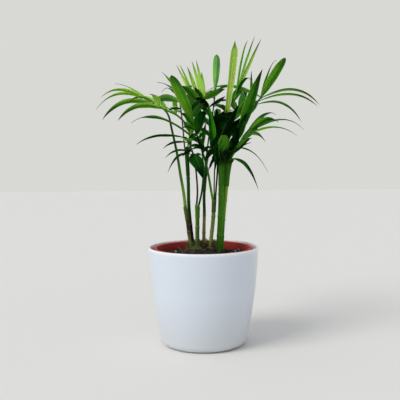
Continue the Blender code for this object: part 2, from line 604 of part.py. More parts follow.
def build():
    for old in list(bpy.data.objects):
        bpy.data.objects.remove(old)
    palm = bpy.data.objects.new("potted_palm", None)
    bpy.context.scene.collection.objects.link(palm)
    cane_lines = {name: cane_line(cane) for name, cane in CANES.items()}
    cane_tops = {name: line[-1] for name, (line, _) in cane_lines.items()}
    stand_at(cover_pot(), Vector((0, 0, 0)), palm)
    stand_at(nursery_pot(), Vector((0, 0, NURSERY_BASE)), palm)
    block = soil(cane_lines)
    obstacles = [("soil", tree_of(block.data))]
    stand_at(block, Vector((0, 0, SOIL_LEVEL)), palm)
    for name, (line, radii) in cane_lines.items():
        mesh = tube(name, line, radii, CANE_SIDES, flat=(0, -1))
        obstacles.append((name, tree_of(mesh)))
        stand_at(add_object(mesh, CANES[name].finish), line[0], palm)

    spear_foot = cane_tops[SPEAR["cane"]] + Vector((*SPEAR["seat"], SEAT_GAP))
    spear_line = [spear_foot, *(seen(*p) for p in SPEAR["line"])]
    spear_mesh = tube("spear_leaf", spear_line, SPEAR["radii"], CANE_SIDES, flat=(0,))
    obstacles.append(("spear_leaf", tree_of(spear_mesh)))
    stand_at(add_object(spear_mesh, SPEAR["finish"]), spear_foot, palm)

    lines = {name: frond_line(frond, cane_tops) for name, frond in FRONDS.items()}
    stalks = {}
    for name, frond in FRONDS.items():
        radii = [frond.petiole + (frond.tip_radius - frond.petiole) * i / (PETIOLE_STEPS - 1)
                 for i in range(PETIOLE_STEPS)]
        stalks[name] = tube(name, lines[name], radii, PETIOLE_SIDES, flat=(0,))
        obstacles.append((name, tree_of(stalks[name])))
    laid = lay_leaflets(lines, obstacles)
    for name, frond in FRONDS.items():
        stalk = add_object(stalks[name], frond.finish)
        blades = [add_object(leaflet("blade", *shape), frond.finish) for shape in laid[name]]
        apply_boolean(stalk, blades, "UNION", "MANIFOLD")
        stand_at(stalk, lines[name][0], palm)


build()
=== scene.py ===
import math
import random

import bmesh
import bpy
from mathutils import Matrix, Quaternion, Vector, noise


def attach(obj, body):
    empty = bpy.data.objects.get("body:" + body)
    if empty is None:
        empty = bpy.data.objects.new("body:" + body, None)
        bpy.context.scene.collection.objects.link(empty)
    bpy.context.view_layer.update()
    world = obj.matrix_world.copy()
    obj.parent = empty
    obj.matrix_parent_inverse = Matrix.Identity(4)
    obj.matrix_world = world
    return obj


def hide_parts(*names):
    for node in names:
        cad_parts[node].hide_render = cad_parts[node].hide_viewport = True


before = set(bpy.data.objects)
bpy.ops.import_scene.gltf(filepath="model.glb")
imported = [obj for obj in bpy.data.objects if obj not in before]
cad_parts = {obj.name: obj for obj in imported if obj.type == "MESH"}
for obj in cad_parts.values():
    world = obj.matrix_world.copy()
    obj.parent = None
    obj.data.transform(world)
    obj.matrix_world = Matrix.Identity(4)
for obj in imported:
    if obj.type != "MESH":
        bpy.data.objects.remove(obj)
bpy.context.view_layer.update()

mm = 0.001
right, back, up = Vector((1.0, 0.0, 0.0)), Vector((0.0, 1.0, 0.0)), Vector((0.0, 0.0, 1.0))
eye = Vector((0.0, -820.0, 232.0))  # where the front elevation is seen from, in millimetres


# Places: x to the right and z up on the front elevation, y the depth behind it along the line of sight
def seen(x, z, y):
    return eye.lerp(Vector((x, 0.0, z)), (y - eye.y) / -eye.y)


def between(low, high, steps):
    return [low + (high - low) * i / steps for i in range(steps + 1)]


def pointOn(line, share):
    lengths = [(b - a).length for a, b in zip(line, line[1:])]
    left = share * sum(lengths)
    for a, b, length in zip(line, line[1:], lengths):
        if left <= length:
            return a.lerp(b, left / length)
        left -= length
    return line[-1].copy()


def smoothLine(points, steps):
    # a curve through the points, cut into evenly spaced ones
    ends = [2 * points[0] - points[1], *points, 2 * points[-1] - points[-2]]
    fine, cuts = [], 8
    for a, b, c, d in zip(ends, ends[1:], ends[2:], ends[3:]):
        for i in range(cuts):
            t = i / cuts
            fine.append(0.5 * ((2 * b) + (c - a) * t + (2 * a - 5 * b + 4 * c - d) * t ** 2
                               + (3 * b - a - 3 * c + d) * t ** 3))
    fine.append(points[-1])
    return [pointOn(fine, i / (steps - 1)) for i in range(steps)]


def directions(line):
    after = line[1:] + line[-1:]
    before = line[:1] + line[:-1]
    return [(b - a).normalized() for a, b in zip(before, after)]


def stations(line):
    # each point of a line with its direction and the two directions square to it, without twist
    side = right
    for point, along in zip(line, directions(line)):
        side = (side - along * side.dot(along)).normalized()
        yield point, along, side, along.cross(side)


def around(side, other, count):
    for i in range(count):
        angle = 2 * math.pi * i / count
        yield angle, math.cos(angle) * side + math.sin(angle) * other


def circle(centre, side, other, radii):
    return [centre + r * out for r, (_, out) in zip(radii, around(side, other, len(radii)))]


def eased(stops, x):
    # a smooth curve through (x, value) stops
    x = min(max(x, stops[0][0]), stops[-1][0])
    i = next(k for k in range(len(stops) - 1) if x <= stops[k + 1][0])
    (x0, v0), (x1, v1) = stops[i], stops[i + 1]
    before, after = stops[max(i - 1, 0)], stops[min(i + 2, len(stops) - 1)]
    slope0 = (v1 - before[1]) / (x1 - before[0])
    slope1 = (after[1] - v0) / (after[0] - x0)
    t, span = (x - x0) / (x1 - x0), x1 - x0
    return ((2 * t ** 3 - 3 * t ** 2 + 1) * v0 + (t ** 3 - 2 * t ** 2 + t) * span * slope0
            + (3 * t ** 2 - 2 * t ** 3) * v1 + (t ** 3 - t ** 2) * span * slope1)


def bump(x, centre, width):
    return math.exp(-((x - centre) / width) ** 2)


# Shapes: points, faces and marks, the numbers on the points that the finishes read
markNames = ("across", "along", "tone", "dry", "under")


def plainMark(tone, dry=0.0):
    return (0, 0, tone, dry, 0)


def newShape():
    return {"points": [], "faces": [], "slots": [], "marks": []}


def addRings(shape, rings, marks, slot=0, caps=True):
    # skins rings of equally many points; a ring of one point is a tip
    starts = []
    for ring, ringMarks in zip(rings, marks):
        starts.append(len(shape["points"]))
        shape["points"] += [p * mm for p in ring]
        shape["marks"] += ringMarks if isinstance(ringMarks, list) else [ringMarks] * len(ring)
    for k in range(len(rings) - 1):
        low, high = len(rings[k]), len(rings[k + 1])
        here, there = starts[k], starts[k + 1]
        count = max(low, high)
        for i in range(count):
            j = (i + 1) % count
            corners = [here + i % low, here + j % low, there + j % high, there + i % high]
            shape["faces"].append(list(dict.fromkeys(corners)))
            shape["slots"].append(slot)
    for k in (0, -1) if caps else ():
        if len(rings[k]) > 2:
            shape["faces"].append([starts[k] + i for i in range(len(rings[k]))])
            shape["slots"].append(slot)


def addTube(shape, line, radii, sides, marks, slot=0, channel=0.0, rough=0.0, roundEnds=True, rightTone=0.0):
    # a round bar along a line; channel hollows its upper side, rough makes it a little uneven,
    # and rightTone makes its right side lighter than its left side: painted light and shade across the bar
    rings, ringMarks = [], []
    for (point, along, side, other), radius, mark in zip(stations(line), radii, marks):
        upper = up - along * up.dot(along)
        ring, pointMarks = [], []
        for _, out in around(side, other, sides):
            size = radius * (1 - channel * max(0.0, out.dot(upper)) ** 3)
            if rough:
                size += rough * noise.noise(point * 0.35 + out * 1.7)
            ring.append(point + size * out)
            pointMarks.append((mark[0], mark[1], mark[2] + rightTone * out.x, *mark[3:]))
        rings.append(ring)
        ringMarks.append(pointMarks)
    if roundEnds:
        for end, step in ((0, -1), (-1, 1)):
            tip = [line[end] + directions(line)[end] * radii[end] * 0.5 * step]
            rings.insert(0, tip) if end == 0 else rings.append(tip)
        ringMarks = [marks[0], *ringMarks, marks[-1]]
    addRings(shape, rings, ringMarks, slot)


def makePiece(name, shape, finishes, slot, nodes=(), sharpAt=55):
    mesh = bpy.data.meshes.new(name)
    mesh.from_pydata(shape["points"], [], shape["faces"])
    for finish in finishes:
        mesh.materials.append(finish)
    mesh.polygons.foreach_set("material_index", shape["slots"])
    for i, markName in enumerate(markNames):
        mark = mesh.attributes.new(markName, "FLOAT", "POINT")
        mark.data.foreach_set("value", [m[i] for m in shape["marks"]])
    bm = bmesh.new()
    bm.from_mesh(mesh)
    bmesh.ops.recalc_face_normals(bm, faces=bm.faces)
    bm.to_mesh(mesh)
    bm.free()
    mesh.shade_smooth()
    mesh.set_sharp_from_angle(angle=math.radians(sharpAt))
    piece = bpy.data.objects.new(name, mesh)
    bpy.context.scene.collection.objects.link(piece)
    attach(piece, "root")
    if nodes:
        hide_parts(*nodes)
    return piece


def pieceName(node):
    words = node.split("_")
    return words[0] + "".join(word.capitalize() for word in words[1:])


# Finishes: short helpers for their nodes
def newFinish(name):
    finish = bpy.data.materials.new(name)
    finish.use_nodes = True
    return finish, finish.node_tree.nodes["Principled BSDF"]


def put(finish, kind, inputs=(), **settings):
    node = finish.node_tree.nodes.new("ShaderNode" + kind)
    for key, value in settings.items():
        setattr(node, key, value)
    for socket, value in dict(inputs).items():
        if isinstance(value, bpy.types.NodeSocket):
            finish.node_tree.links.new(value, node.inputs[socket])
        else:
            node.inputs[socket].default_value = value
    return node


def link(finish, output, socket):
    finish.node_tree.links.new(output, socket)


def setOn(shader, values):
    for socket, value in values.items():
        shader.inputs[socket].default_value = value


def markOf(finish, name):
    return put(finish, "Attribute", attribute_name=name).outputs["Fac"]


def noiseOf(finish, scale, detail=4.0, roughness=0.55, stretch=None):
    where = put(finish, "TexCoord").outputs["Object"]
    if stretch:
        where = put(finish, "Mapping", {"Vector": where, "Scale": stretch}).outputs["Vector"]
    return put(finish, "TexNoise", {"Vector": where, "Scale": scale, "Detail": detail,
                                    "Roughness": roughness}).outputs["Fac"]


def rampOf(finish, factor, stops):
    ramp = put(finish, "ValToRGB", {"Fac": factor})
    elements = ramp.color_ramp.elements
    while len(elements) < len(stops):
        elements.new(0.5)
    for element, (place, colour) in zip(elements, stops):
        element.position = place
        element.color = (*colour, 1.0)
    return ramp.outputs["Color"]


def sumOf(finish, a, b, operation="ADD"):
    return put(finish, "Math", {0: a, 1: b}, operation=operation).outputs[0]


def spread(finish, value, low, high, start=0.0, end=1.0):
    # brings a value from the range start to end into the range low to high
    return put(finish, "MapRange", {"Value": value, "From Min": start, "From Max": end,
                                    "To Min": low, "To Max": high}).outputs[0]


def mixOf(finish, factor, a, b, blend="MIX"):
    mix = put(finish, "Mix", data_type="RGBA", blend_type=blend)
    for socket, value in ((mix.inputs[0], factor), (mix.inputs[6], a), (mix.inputs[7], b)):
        if isinstance(value, bpy.types.NodeSocket):
            link(finish, value, socket)
        else:
            socket.default_value = value if isinstance(value, float) else (*value, 1.0)
    return mix.outputs[2]


def bumpOf(finish, height, strength, distance, under=None):
    node = put(finish, "Bump", {"Height": height, "Strength": strength, "Distance": distance})
    if under:
        link(finish, under, node.inputs["Normal"])
    return node.outputs["Normal"]


# Cover pot: the foot colour is painted shade and floor reflection low down, and footShadeShare is how far up it
# reaches
coverPot = {
    "height": 116.0, "rimRadius": 65.0, "footRadius": 49.7, "swell": 3.15, "edge": 9.8, "wall": 2.2,
    "floor": 3.0, "rimRise": 0.6, "sides": 144, "edgeSteps": 12, "sideSteps": 30, "rimSteps": 10,
    "colour": (0.73, 0.79, 0.88), "shade": (0.69, 0.75, 0.84), "foot": (0.63, 0.66, 0.69), "footShadeShare": 0.55,
    "inside": (1.0, 0.87, 0.81), "rim": (0.95, 0.96, 0.97), "roughness": (0.16, 0.26), "coat": 0.35,
    "translucence": 0.3}


def coverRadius(z):
    share = z / coverPot["height"]
    cone = coverPot["footRadius"] + (coverPot["rimRadius"] - coverPot["footRadius"]) * share
    return cone + 4 * coverPot["swell"] * share * (1 - share)


def turnedShape(profile, sides, marksAt):
    shape = newShape()
    rings = [circle(up * z, right, back, [r] * sides) if r else [up * z] for r, z in profile]
    addRings(shape, rings, [marksAt(r, z) for r, z in profile])
    return shape


def coverPotFinish():
    finish, shader = newFinish("whitePlastic")
    cloud = noiseOf(finish, 14.0, 3.0)
    body = mixOf(finish, cloud, coverPot["colour"], coverPot["shade"])
    # painted shade: low down the body turns to the greyer foot colour, standing in for shade and the floor's
    # reflection
    low = spread(finish, markOf(finish, "along"), 0.0, 1.0, coverPot["footShadeShare"], 0.0)
    body = mixOf(finish, low, body, coverPot["foot"])
    # painted light: the pinkish pale inside colour stands in for light bounced off the red pot and shining through
    # the wall
    body = mixOf(finish, markOf(finish, "under"), body, coverPot["inside"])
    # painted highlight: the rim's points, marked in the dry channel, take the whiter rim colour
    link(finish, mixOf(finish, markOf(finish, "dry"), body, coverPot["rim"]), shader.inputs["Base Color"])
    smudge = noiseOf(finish, 45.0, 5.0)
    link(finish, spread(finish, smudge, *coverPot["roughness"]), shader.inputs["Roughness"])
    waver = bumpOf(finish, noiseOf(finish, 9.0, 1.0), 0.05, 0.002)
    grain = noiseOf(finish, 900.0, 2.0)
    link(finish, bumpOf(finish, grain, 0.04, 0.0002, waver), shader.inputs["Normal"])
    setOn(shader, {"Coat Weight": coverPot["coat"], "Coat Roughness": 0.08, "Subsurface Scale": 0.004,
                   "Subsurface Weight": coverPot["translucence"], "Subsurface Radius": (1.0, 0.8, 0.75)})
    return finish


def makeCoverPot():
    c = coverPot
    outerEdge = []
    for i in range(c["edgeSteps"] + 1):
        angle = math.pi / 2 * i / c["edgeSteps"]
        outerEdge.append((coverRadius(c["edge"]) - c["edge"] * (1 - math.sin(angle)),
                          c["edge"] * (1 - math.cos(angle))))
    rimFoot, half = c["height"] - c["rimRise"], c["wall"] / 2
    outer = [(coverRadius(z), z) for z in between(c["edge"], rimFoot, c["sideSteps"])[1:-1]]
    rim = []
    for i in range(c["rimSteps"] + 1):
        angle = math.pi * i / c["rimSteps"]
        rim.append((c["rimRadius"] - half + half * math.cos(angle), rimFoot + c["rimRise"] * math.sin(angle)))
    inner = [(r - c["wall"], z) for r, z in reversed(outer)]
    innerEdge = [(r - c["wall"], max(z, c["floor"])) for r, z in reversed(outerEdge) if z > c["floor"]]
    profile = [(0, 0), *outerEdge, *outer, *rim, *inner, *innerEdge, (innerEdge[-1][0] - 3, c["floor"]),
               (0, c["floor"])]

    def marksAt(r, z):
        # the rim's points get a painted highlight through this mark
        rimHighlightMask = float(z > rimFoot - 0.05)
        inside = float(z >= c["floor"] and r < coverRadius(z) - c["wall"] * 0.6)
        return 0, z / c["height"], 1, rimHighlightMask, inside

    shape = turnedShape(profile, c["sides"], marksAt)
    makePiece("coverPot", shape, [coverPotFinish()], "white_plastic", ["cover_pot"])


# Nursery pot: a thin cone with a lip, and a line of dirt where the soil reaches
nurseryPot = {
    "base": 3.3, "height": 111.7, "footRadius": 38.5, "rimRadius": 56.4, "wall": 1.2, "lip": 1.8,
    "lipHeight": 6.0, "floor": 1.6, "sides": 120, "innerSteps": 16, "outerSteps": 12, "sharpAt": 40,
    "holes": 5, "holeRadius": 3.5, "holeRing": 24.0, "holeTurn": 0.3, "holeSides": 24,
    "dirtHeight": 106.0, "dirtWidth": 3.5,
    "colour": (0.42, 0.018, 0.012), "worn": (0.50, 0.05, 0.032), "dirt": (0.03, 0.018, 0.012)}


def nurseryRadius(z):
    share = (z - nurseryPot["base"]) / nurseryPot["height"]
    return nurseryPot["footRadius"] + (nurseryPot["rimRadius"] - nurseryPot["footRadius"]) * share


def nurseryPotFinish():
    finish, shader = newFinish("redPlastic")
    scuffs = noiseOf(finish, 120.0, 6.0, 0.7, (1, 1, 0.3))
    plain = mixOf(finish, scuffs, nurseryPot["colour"], nurseryPot["worn"])
    dirty = sumOf(finish, markOf(finish, "dry"), noiseOf(finish, 300.0, 4.0), "MULTIPLY")
    dirty = spread(finish, dirty, 0.0, 1.6)
    link(finish, mixOf(finish, dirty, plain, nurseryPot["dirt"]), shader.inputs["Base Color"])
    link(finish, spread(finish, scuffs, 0.4, 0.65), shader.inputs["Roughness"])
    link(finish, bumpOf(finish, noiseOf(finish, 700.0, 3.0), 0.1, 0.0003), shader.inputs["Normal"])
    setOn(shader, {"Specular IOR Level": 0.25})
    return finish


def drilled(piece, cutters):
    # takes the cutters away from the piece in one cut
    tools = bpy.data.collections.new("drills")
    bpy.context.scene.collection.children.link(tools)
    for cutter in cutters:
        tools.objects.link(cutter)
    cut = piece.modifiers.new("drill", "BOOLEAN")
    cut.operation = "DIFFERENCE"
    cut.operand_type = "COLLECTION"
    cut.collection = tools
    cut.solver = "EXACT"
    graph = bpy.context.evaluated_depsgraph_get()
    mesh = bpy.data.meshes.new_from_object(piece.evaluated_get(graph))
    piece.modifiers.clear()
    piece.data = mesh
    for cutter in cutters:
        bpy.data.objects.remove(cutter)
    bpy.data.collections.remove(tools)


def makeNurseryPot():
    n = nurseryPot
    floor, top = n["base"] + n["floor"], n["base"] + n["height"]
    lipFoot, lip = top - n["lipHeight"], n["rimRadius"] + n["lip"]
    inner = [(nurseryRadius(z) - n["wall"], z) for z in between(floor, top - 0.5, n["innerSteps"])]
    outer = [(nurseryRadius(z), z) for z in between(lipFoot - 0.4, n["base"] + 1.6, n["outerSteps"])]
    # the small numbers round the lip and the foot
    profile = [(0, floor), *inner, (n["rimRadius"] - 0.5, top - 0.12), (n["rimRadius"], top),
               (lip - 0.9, top), (lip - 0.3, top - 0.25), (lip, top - 0.9), (lip - 0.4, lipFoot + 0.3),
               (lip - 0.7, lipFoot), *outer, (n["footRadius"] - 0.6, n["base"] + 0.5),
               (n["footRadius"] - 2, n["base"]), (0, n["base"])]

    def marksAt(r, z):
        return 0, z / top, 1, max(0.0, 1 - abs(z - n["dirtHeight"]) / n["dirtWidth"]), 0

    shape = turnedShape(profile, n["sides"], marksAt)
    piece = makePiece("nurseryPot", shape, [nurseryPotFinish()], "red_plastic", ["nursery_pot"], n["sharpAt"])
    drills = []
    for i in range(n["holes"]):
        angle = 2 * math.pi * (i + n["holeTurn"]) / n["holes"]
        centre = Vector((math.cos(angle), math.sin(angle), 0)) * n["holeRing"]
        drill = newShape()
        ends = [circle(centre + up * z, right, back, [n["holeRadius"]] * n["holeSides"])
                for z in (n["base"] - 1, floor + 1)]
        addRings(drill, ends, [plainMark(0)] * 2)
        mesh = bpy.data.meshes.new("drill")
        mesh.from_pydata(drill["points"], [], drill["faces"])
        drills.append(bpy.data.objects.new("drill", mesh))
    drilled(piece, drills)


# Soil: level near the wall, a low mound under the canes, crumbs on top. A crumb's shape is (height, radius)
# stops.
soil = {
    "level": 106.5, "moundCentre": (1.0, 9.0), "moundHeight": 6.5, "moundRadius": 24.0, "gap": 0.3, "sag": 0.4,
    "rings": 46, "sides": 132, "tone": 0.25, "lump": 1.5, "lumpScale": 0.16, "grain": 0.55, "grainScale": 0.6,
    "crumbs": 190, "crumbSize": (0.6, 1.9), "crumbSides": 7, "crumbTone": (0.15, 0.5), "perlite": 0.06,
    "crumbShape": ((-1.0, 0.35), (-0.75, 0.8), (-0.1, 1.0), (0.6, 0.75), (0.95, 0.3)),
    "dark": (0.004, 0.003, 0.0022), "brown": (0.017, 0.011, 0.007), "light": (0.04, 0.027, 0.017),
    "dusty": (0.08, 0.055, 0.035), "pale": (0.42, 0.38, 0.30)}


def soilHeight(x, y):
    away = math.hypot(x - soil["moundCentre"][0], y - soil["moundCentre"][1]) / soil["moundRadius"]
    return soil["level"] + soil["moundHeight"] * math.exp(-away ** 4)


def soilFinish():
    finish, shader = newFinish("pottingSoil")
    clumps = noiseOf(finish, 190.0, 8.0, 0.7)
    peat = noiseOf(finish, 900.0, 5.0, 0.7)
    colour = rampOf(finish, sumOf(finish, clumps, markOf(finish, "tone")), [
        (0.35, soil["dark"]), (0.8, soil["brown"]), (1.2 / 1.4, soil["light"]), (1.0, soil["dusty"])])
    colour = mixOf(finish, peat, colour, soil["dark"])
    link(finish, mixOf(finish, markOf(finish, "dry"), colour, soil["pale"]), shader.inputs["Base Color"])
    link(finish, spread(finish, peat, 0.7, 1.0), shader.inputs["Roughness"])
    lumpy = bumpOf(finish, clumps, 0.8, 0.002)
    link(finish, bumpOf(finish, peat, 0.7, 0.0008, lumpy), shader.inputs["Normal"])
    return finish


def makeSoil():
    rng = random.Random(4)
    bottom = nurseryPot["base"] + nurseryPot["floor"] + soil["gap"]
    clearance = nurseryPot["wall"] + soil["gap"] + soil["sag"]
    edge = nurseryRadius(soil["level"]) - clearance
    shape = newShape()
    rings = [[up * bottom]]
    for i in (6, 9, 11, 12):
        r = (nurseryRadius(bottom) - clearance) * i / 12
        rings.append(circle(up * bottom, right, back, [r] * soil["sides"]))
    for i in range(soil["rings"]):
        ring = circle(up * 0, right, back, [edge * (1 - i / soil["rings"])] * soil["sides"])
        for p in ring:
            lumps = soil["lump"] * noise.noise(p * soil["lumpScale"] + Vector((7, 3, 0)))
            grains = soil["grain"] * (noise.noise(p * soil["grainScale"]) + 0.3 * noise.noise(p * 1.5))
            p.z = soilHeight(p.x, p.y) + lumps + grains - soil["sag"]
        rings.append(ring)
    rings.append([up * soilHeight(0, 0)])
    addRings(shape, rings, [plainMark(soil["tone"])] * len(rings))
    for _ in range(soil["crumbs"]):
        angle, away = rng.uniform(0, 2 * math.pi), (edge - 2.5) * math.sqrt(rng.random())
        x, y = away * math.cos(angle), away * math.sin(angle)
        size = rng.uniform(*soil["crumbSize"])
        centre = Vector((x, y, soilHeight(x, y) + 0.25 * size))
        axis = Vector((rng.gauss(0, 1), rng.gauss(0, 1), rng.gauss(0, 1))).normalized()
        side = axis.orthogonal().normalized()
        tone = rng.uniform(*soil["crumbTone"])
        rings = []
        for height, share in soil["crumbShape"]:
            middle, radii = centre + axis * size * height, [size * share] * soil["crumbSides"]
            ring = circle(middle, side, axis.cross(side), radii)
            rings.append([p + (p - centre) * 0.6 * noise.noise(p * 0.9) for p in ring])
        isPerlite = float(rng.random() < soil["perlite"])
        addRings(shape, rings, [plainMark(tone, isPerlite)] * len(rings))
    makePiece("soilTop", shape, [soilFinish()], "potting_soil", ["soil"])


# Canes: line of (x, z, y) from the soil to the top node; looks are (height, tone, dryness) stops, and
# rightTone is painted light on one side of each cane and painted shade on the other
rootDepth = 22.0
canes = {
    "cane_left_front": {
        "finish": "brown_cane", "radii": (2.0, 1.9), "nodes": (132, 146), "rightTone": 0.10,
        "line": [(-14.6, 113, 10), (-17.0, 130, 10), (-18.6, 145, 10), (-20.6, 158, 10)],
        "looks": [(90, 0.5, 0.7), (116, 0.62, 0.55), (126, 0.55, 0.5), (133, 0.34, 0.75),
                  (145, 0.3, 0.85), (160, 0.35, 0.7)]},
    "cane_left_tall": {
        "finish": "green_cane", "radii": (2.1, 2.0), "nodes": (140, 168, 196), "rightTone": -0.12,
        "line": [(-12.0, 114, 17), (-14.6, 138, 17), (-16.9, 165, 17), (-17.2, 192, 17), (-18.4, 222, 17)],
        "looks": [(90, 0.1, 0.9), (138, 0.1, 0.85), (148, 0.15, 0.3), (170, 0.25, 0.1), (222, 0.3, 0)]},
    "cane_centre_left": {
        "finish": "green_cane", "radii": (2.5, 2.4), "nodes": (138,), "rightTone": -0.10,
        "line": [(-7.0, 113, 4), (-7.1, 130, 4), (-6.8, 147, 4), (-6.6, 163, 4)],
        "looks": [(90, 0.45, 0.6), (118, 0.46, 0.42), (140, 0.46, 0.38), (163, 0.48, 0.35)]},
    "cane_centre_thin": {
        "finish": "brown_cane", "radii": (2.1, 1.6), "nodes": (131, 152), "rightTone": 0.05,
        "line": [(0.6, 114, 12), (0.8, 135, 12), (1.4, 155, 12), (1.3, 176, 12), (2.8, 198, 12)],
        "looks": [(90, 0.5, 0.9), (118, 0.66, 0.58), (132, 0.68, 0.5), (146, 0.7, 0.55),
                  (156, 0.35, 0.4), (165, 0.2, 0.1), (198, 0.2, 0)]},
    "cane_centre_right": {
        "finish": "green_cane", "radii": (2.2, 2.3), "nodes": (134, 151), "rightTone": 0.12,
        "line": [(8.2, 113, 6), (9.9, 130, 6), (12.0, 150, 6), (13.0, 170, 6)],
        "looks": [(90, 0.72, 0.55), (122, 0.74, 0.5), (150, 0.6, 0.35), (165, 0.55, 0.3), (170, 0.8, 0.4)]},
    "cane_right_front": {
        "finish": "green_cane", "radii": (3.1, 3.0), "nodes": (129, 152, 178), "rightTone": 0.14,
        "line": [(18.6, 109, -3), (19.2, 130, -3), (20.4, 152, -3), (21.2, 176, -3), (21.8, 214, -3)],
        "looks": [(90, 0.25, 0.3), (112, 0.32, -0.1), (124, 0.4, -0.2), (180, 0.42, -0.2), (214, 0.48, -0.2)]},
    "cane_right_back": {
        "finish": "green_cane", "radii": (2.3, 3.3), "nodes": (126, 147, 170), "rightTone": 0.25,
        "line": [(21.8, 111, 8), (22.4, 130, 8), (23.8, 152, 8), (26.0, 176, 7), (29.8, 215, 5)],
        "looks": [(90, 0.3, 0.4), (125, 0.42, -0.1), (150, 0.54, -0.2), (180, 0.66, -0.2), (215, 0.58, -0.2)]},
}
caneDetail = {"sides": 22, "steps": 110, "nodeSwell": 1.16, "nodeWidth": 1.1, "scarWidth": 0.55, "rough": 0.06}
caneColours = {
    "green": [(0.0, (0.004, 0.022, 0.002)), (0.3, (0.015, 0.085, 0.004)), (0.55, (0.06, 0.22, 0.008)),
              (0.8, (0.20, 0.38, 0.03)), (1.0, (0.42, 0.56, 0.12))],
    "dry": [(0.0, (0.012, 0.007, 0.006)), (0.3, (0.05, 0.032, 0.024)), (0.55, (0.17, 0.12, 0.075)),
            (0.8, (0.34, 0.27, 0.12)), (1.0, (0.5, 0.42, 0.25))],
    "scar": (0.30, 0.27, 0.16), "sheen": (0.75, 1.0, 0.5, 1.0)}


def lookAt(looks, z):
    return [eased([(stop[0], stop[i]) for stop in looks], z) for i in (1, 2)]


def caneFinish(name, roughness):
    finish, shader = newFinish(name)
    streaks = noiseOf(finish, 260.0, 4.0, 0.6, (1, 1, 0.12))
    blotches = noiseOf(finish, 130.0, 3.0)
    tone = sumOf(finish, markOf(finish, "tone"), spread(finish, streaks, -0.14, 0.14))
    dryness = sumOf(finish, markOf(finish, "dry"), spread(finish, blotches, -0.35, 0.35))
    dryness = spread(finish, dryness, 0.0, 1.0, 0.15, 0.75)
    green, dry = (rampOf(finish, tone, caneColours[kind]) for kind in ("green", "dry"))
    colour = mixOf(finish, dryness, green, dry)
    scar = sumOf(finish, markOf(finish, "across"), spread(finish, streaks, 0.1, 0.9), "MULTIPLY")
    link(finish, mixOf(finish, scar, colour, caneColours["scar"]), shader.inputs["Base Color"])
    link(finish, spread(finish, streaks, roughness, roughness + 0.2), shader.inputs["Roughness"])
    fine = noiseOf(finish, 600.0, 3.0, 0.6, (1, 1, 0.15))
    blotchy = bumpOf(finish, blotches, 0.2, 0.001)
    link(finish, bumpOf(finish, fine, 0.25, 0.0004, blotchy), shader.inputs["Normal"])
    setOn(shader, {"Subsurface Weight": 0.06, "Subsurface Scale": 0.001, "Specular IOR Level": 0.3, "IOR": 1.25,
                   "Specular Tint": caneColours["sheen"]})
    return finish


def caneLine(cane, steps):
    points = [seen(*p) for p in cane["line"]]
    return smoothLine([points[0] - up * rootDepth, *points], steps)


def caneRadius(cane, z, foot, top):
    share = min(max(0.0, (z - foot) / (top - foot)), 1.0)
    radius = cane["radii"][0] + (cane["radii"][1] - cane["radii"][0]) * share
    swell = sum(bump(z, node, caneDetail["nodeWidth"]) for node in cane["nodes"])
    pinch = sum(bump(z, node + 1.9, 0.5) for node in cane["nodes"])
    return radius * (1 + (caneDetail["nodeSwell"] - 1) * swell - 0.04 * pinch)


def makeCanes(finishes):
    for node, cane in canes.items():
        line = caneLine(cane, caneDetail["steps"])
        foot, top = seen(*cane["line"][0]).z, line[-1].z
        radii = [caneRadius(cane, p.z, foot, top) for p in line]
        marks = []
        for p in line:
            tone, dry = lookAt(cane["looks"], p.z)
            scar = max(bump(p.z, n + 0.9, caneDetail["scarWidth"]) for n in cane["nodes"])
            marks.append((scar * (0.5 + dry), p.z / 400, tone, dry, 0))
        shape = newShape()
        addTube(shape, line, radii, caneDetail["sides"], marks, rough=caneDetail["rough"], roundEnds=False,
                rightTone=cane["rightTone"])
        makePiece(pieceName(node), shape, [finishes[cane["finish"]]], cane["finish"], [node])


# Sheaths: the clasping leaf bases round each cane's top, with a slanted dry mouth. They reach down and up from
# the cane's end, and rim and edge are the tone and dryness over the last share of them; on the two right canes
# the dark rim over a third of the length is painted shade under the fronds.
sheathColumns = ("down", "up", "spread", "tone", "dry", "edge", "rim", "share", "lean")
sheaths = {
    "cane_left_front": (12, 9, 1.0, 0.42, 0.55, 0.3, 0.15, 0.12, (-0.15, -0.03)),
    "cane_left_tall": (24, 12, 1.25, 0.26, -0.1, -0.1, -0.15, 0.12, (0.0, 0.05)),
    "cane_centre_left": (14, 3, 1.15, 0.5, 0.25, 0.5, 0.25, 0.12, (0.1, 0.1)),
    "cane_centre_thin": (18, 12, 1.3, 0.2, 0.1, 0.3, 0.25, 0.12, (0.15, 0.2)),
    "cane_centre_right": (14, 4, 1.1, 0.35, 0.4, 0.3, 0.25, 0.12, (0.0, -0.05)),
    "cane_right_front": (26, 8, 1.2, 0.4, -0.2, -0.2, -0.6, 0.34, (0.05, -0.05)),
    "cane_right_back": (30, 9, 1.6, 0.45, -0.2, -0.2, -0.6, 0.34, (0.35, -0.1)),
}
sheathDetail = {"sides": 24, "steps": 26, "wall": 0.35, "slant": 4.5, "flareFrom": 0.3, "slantFrom": 0.45}


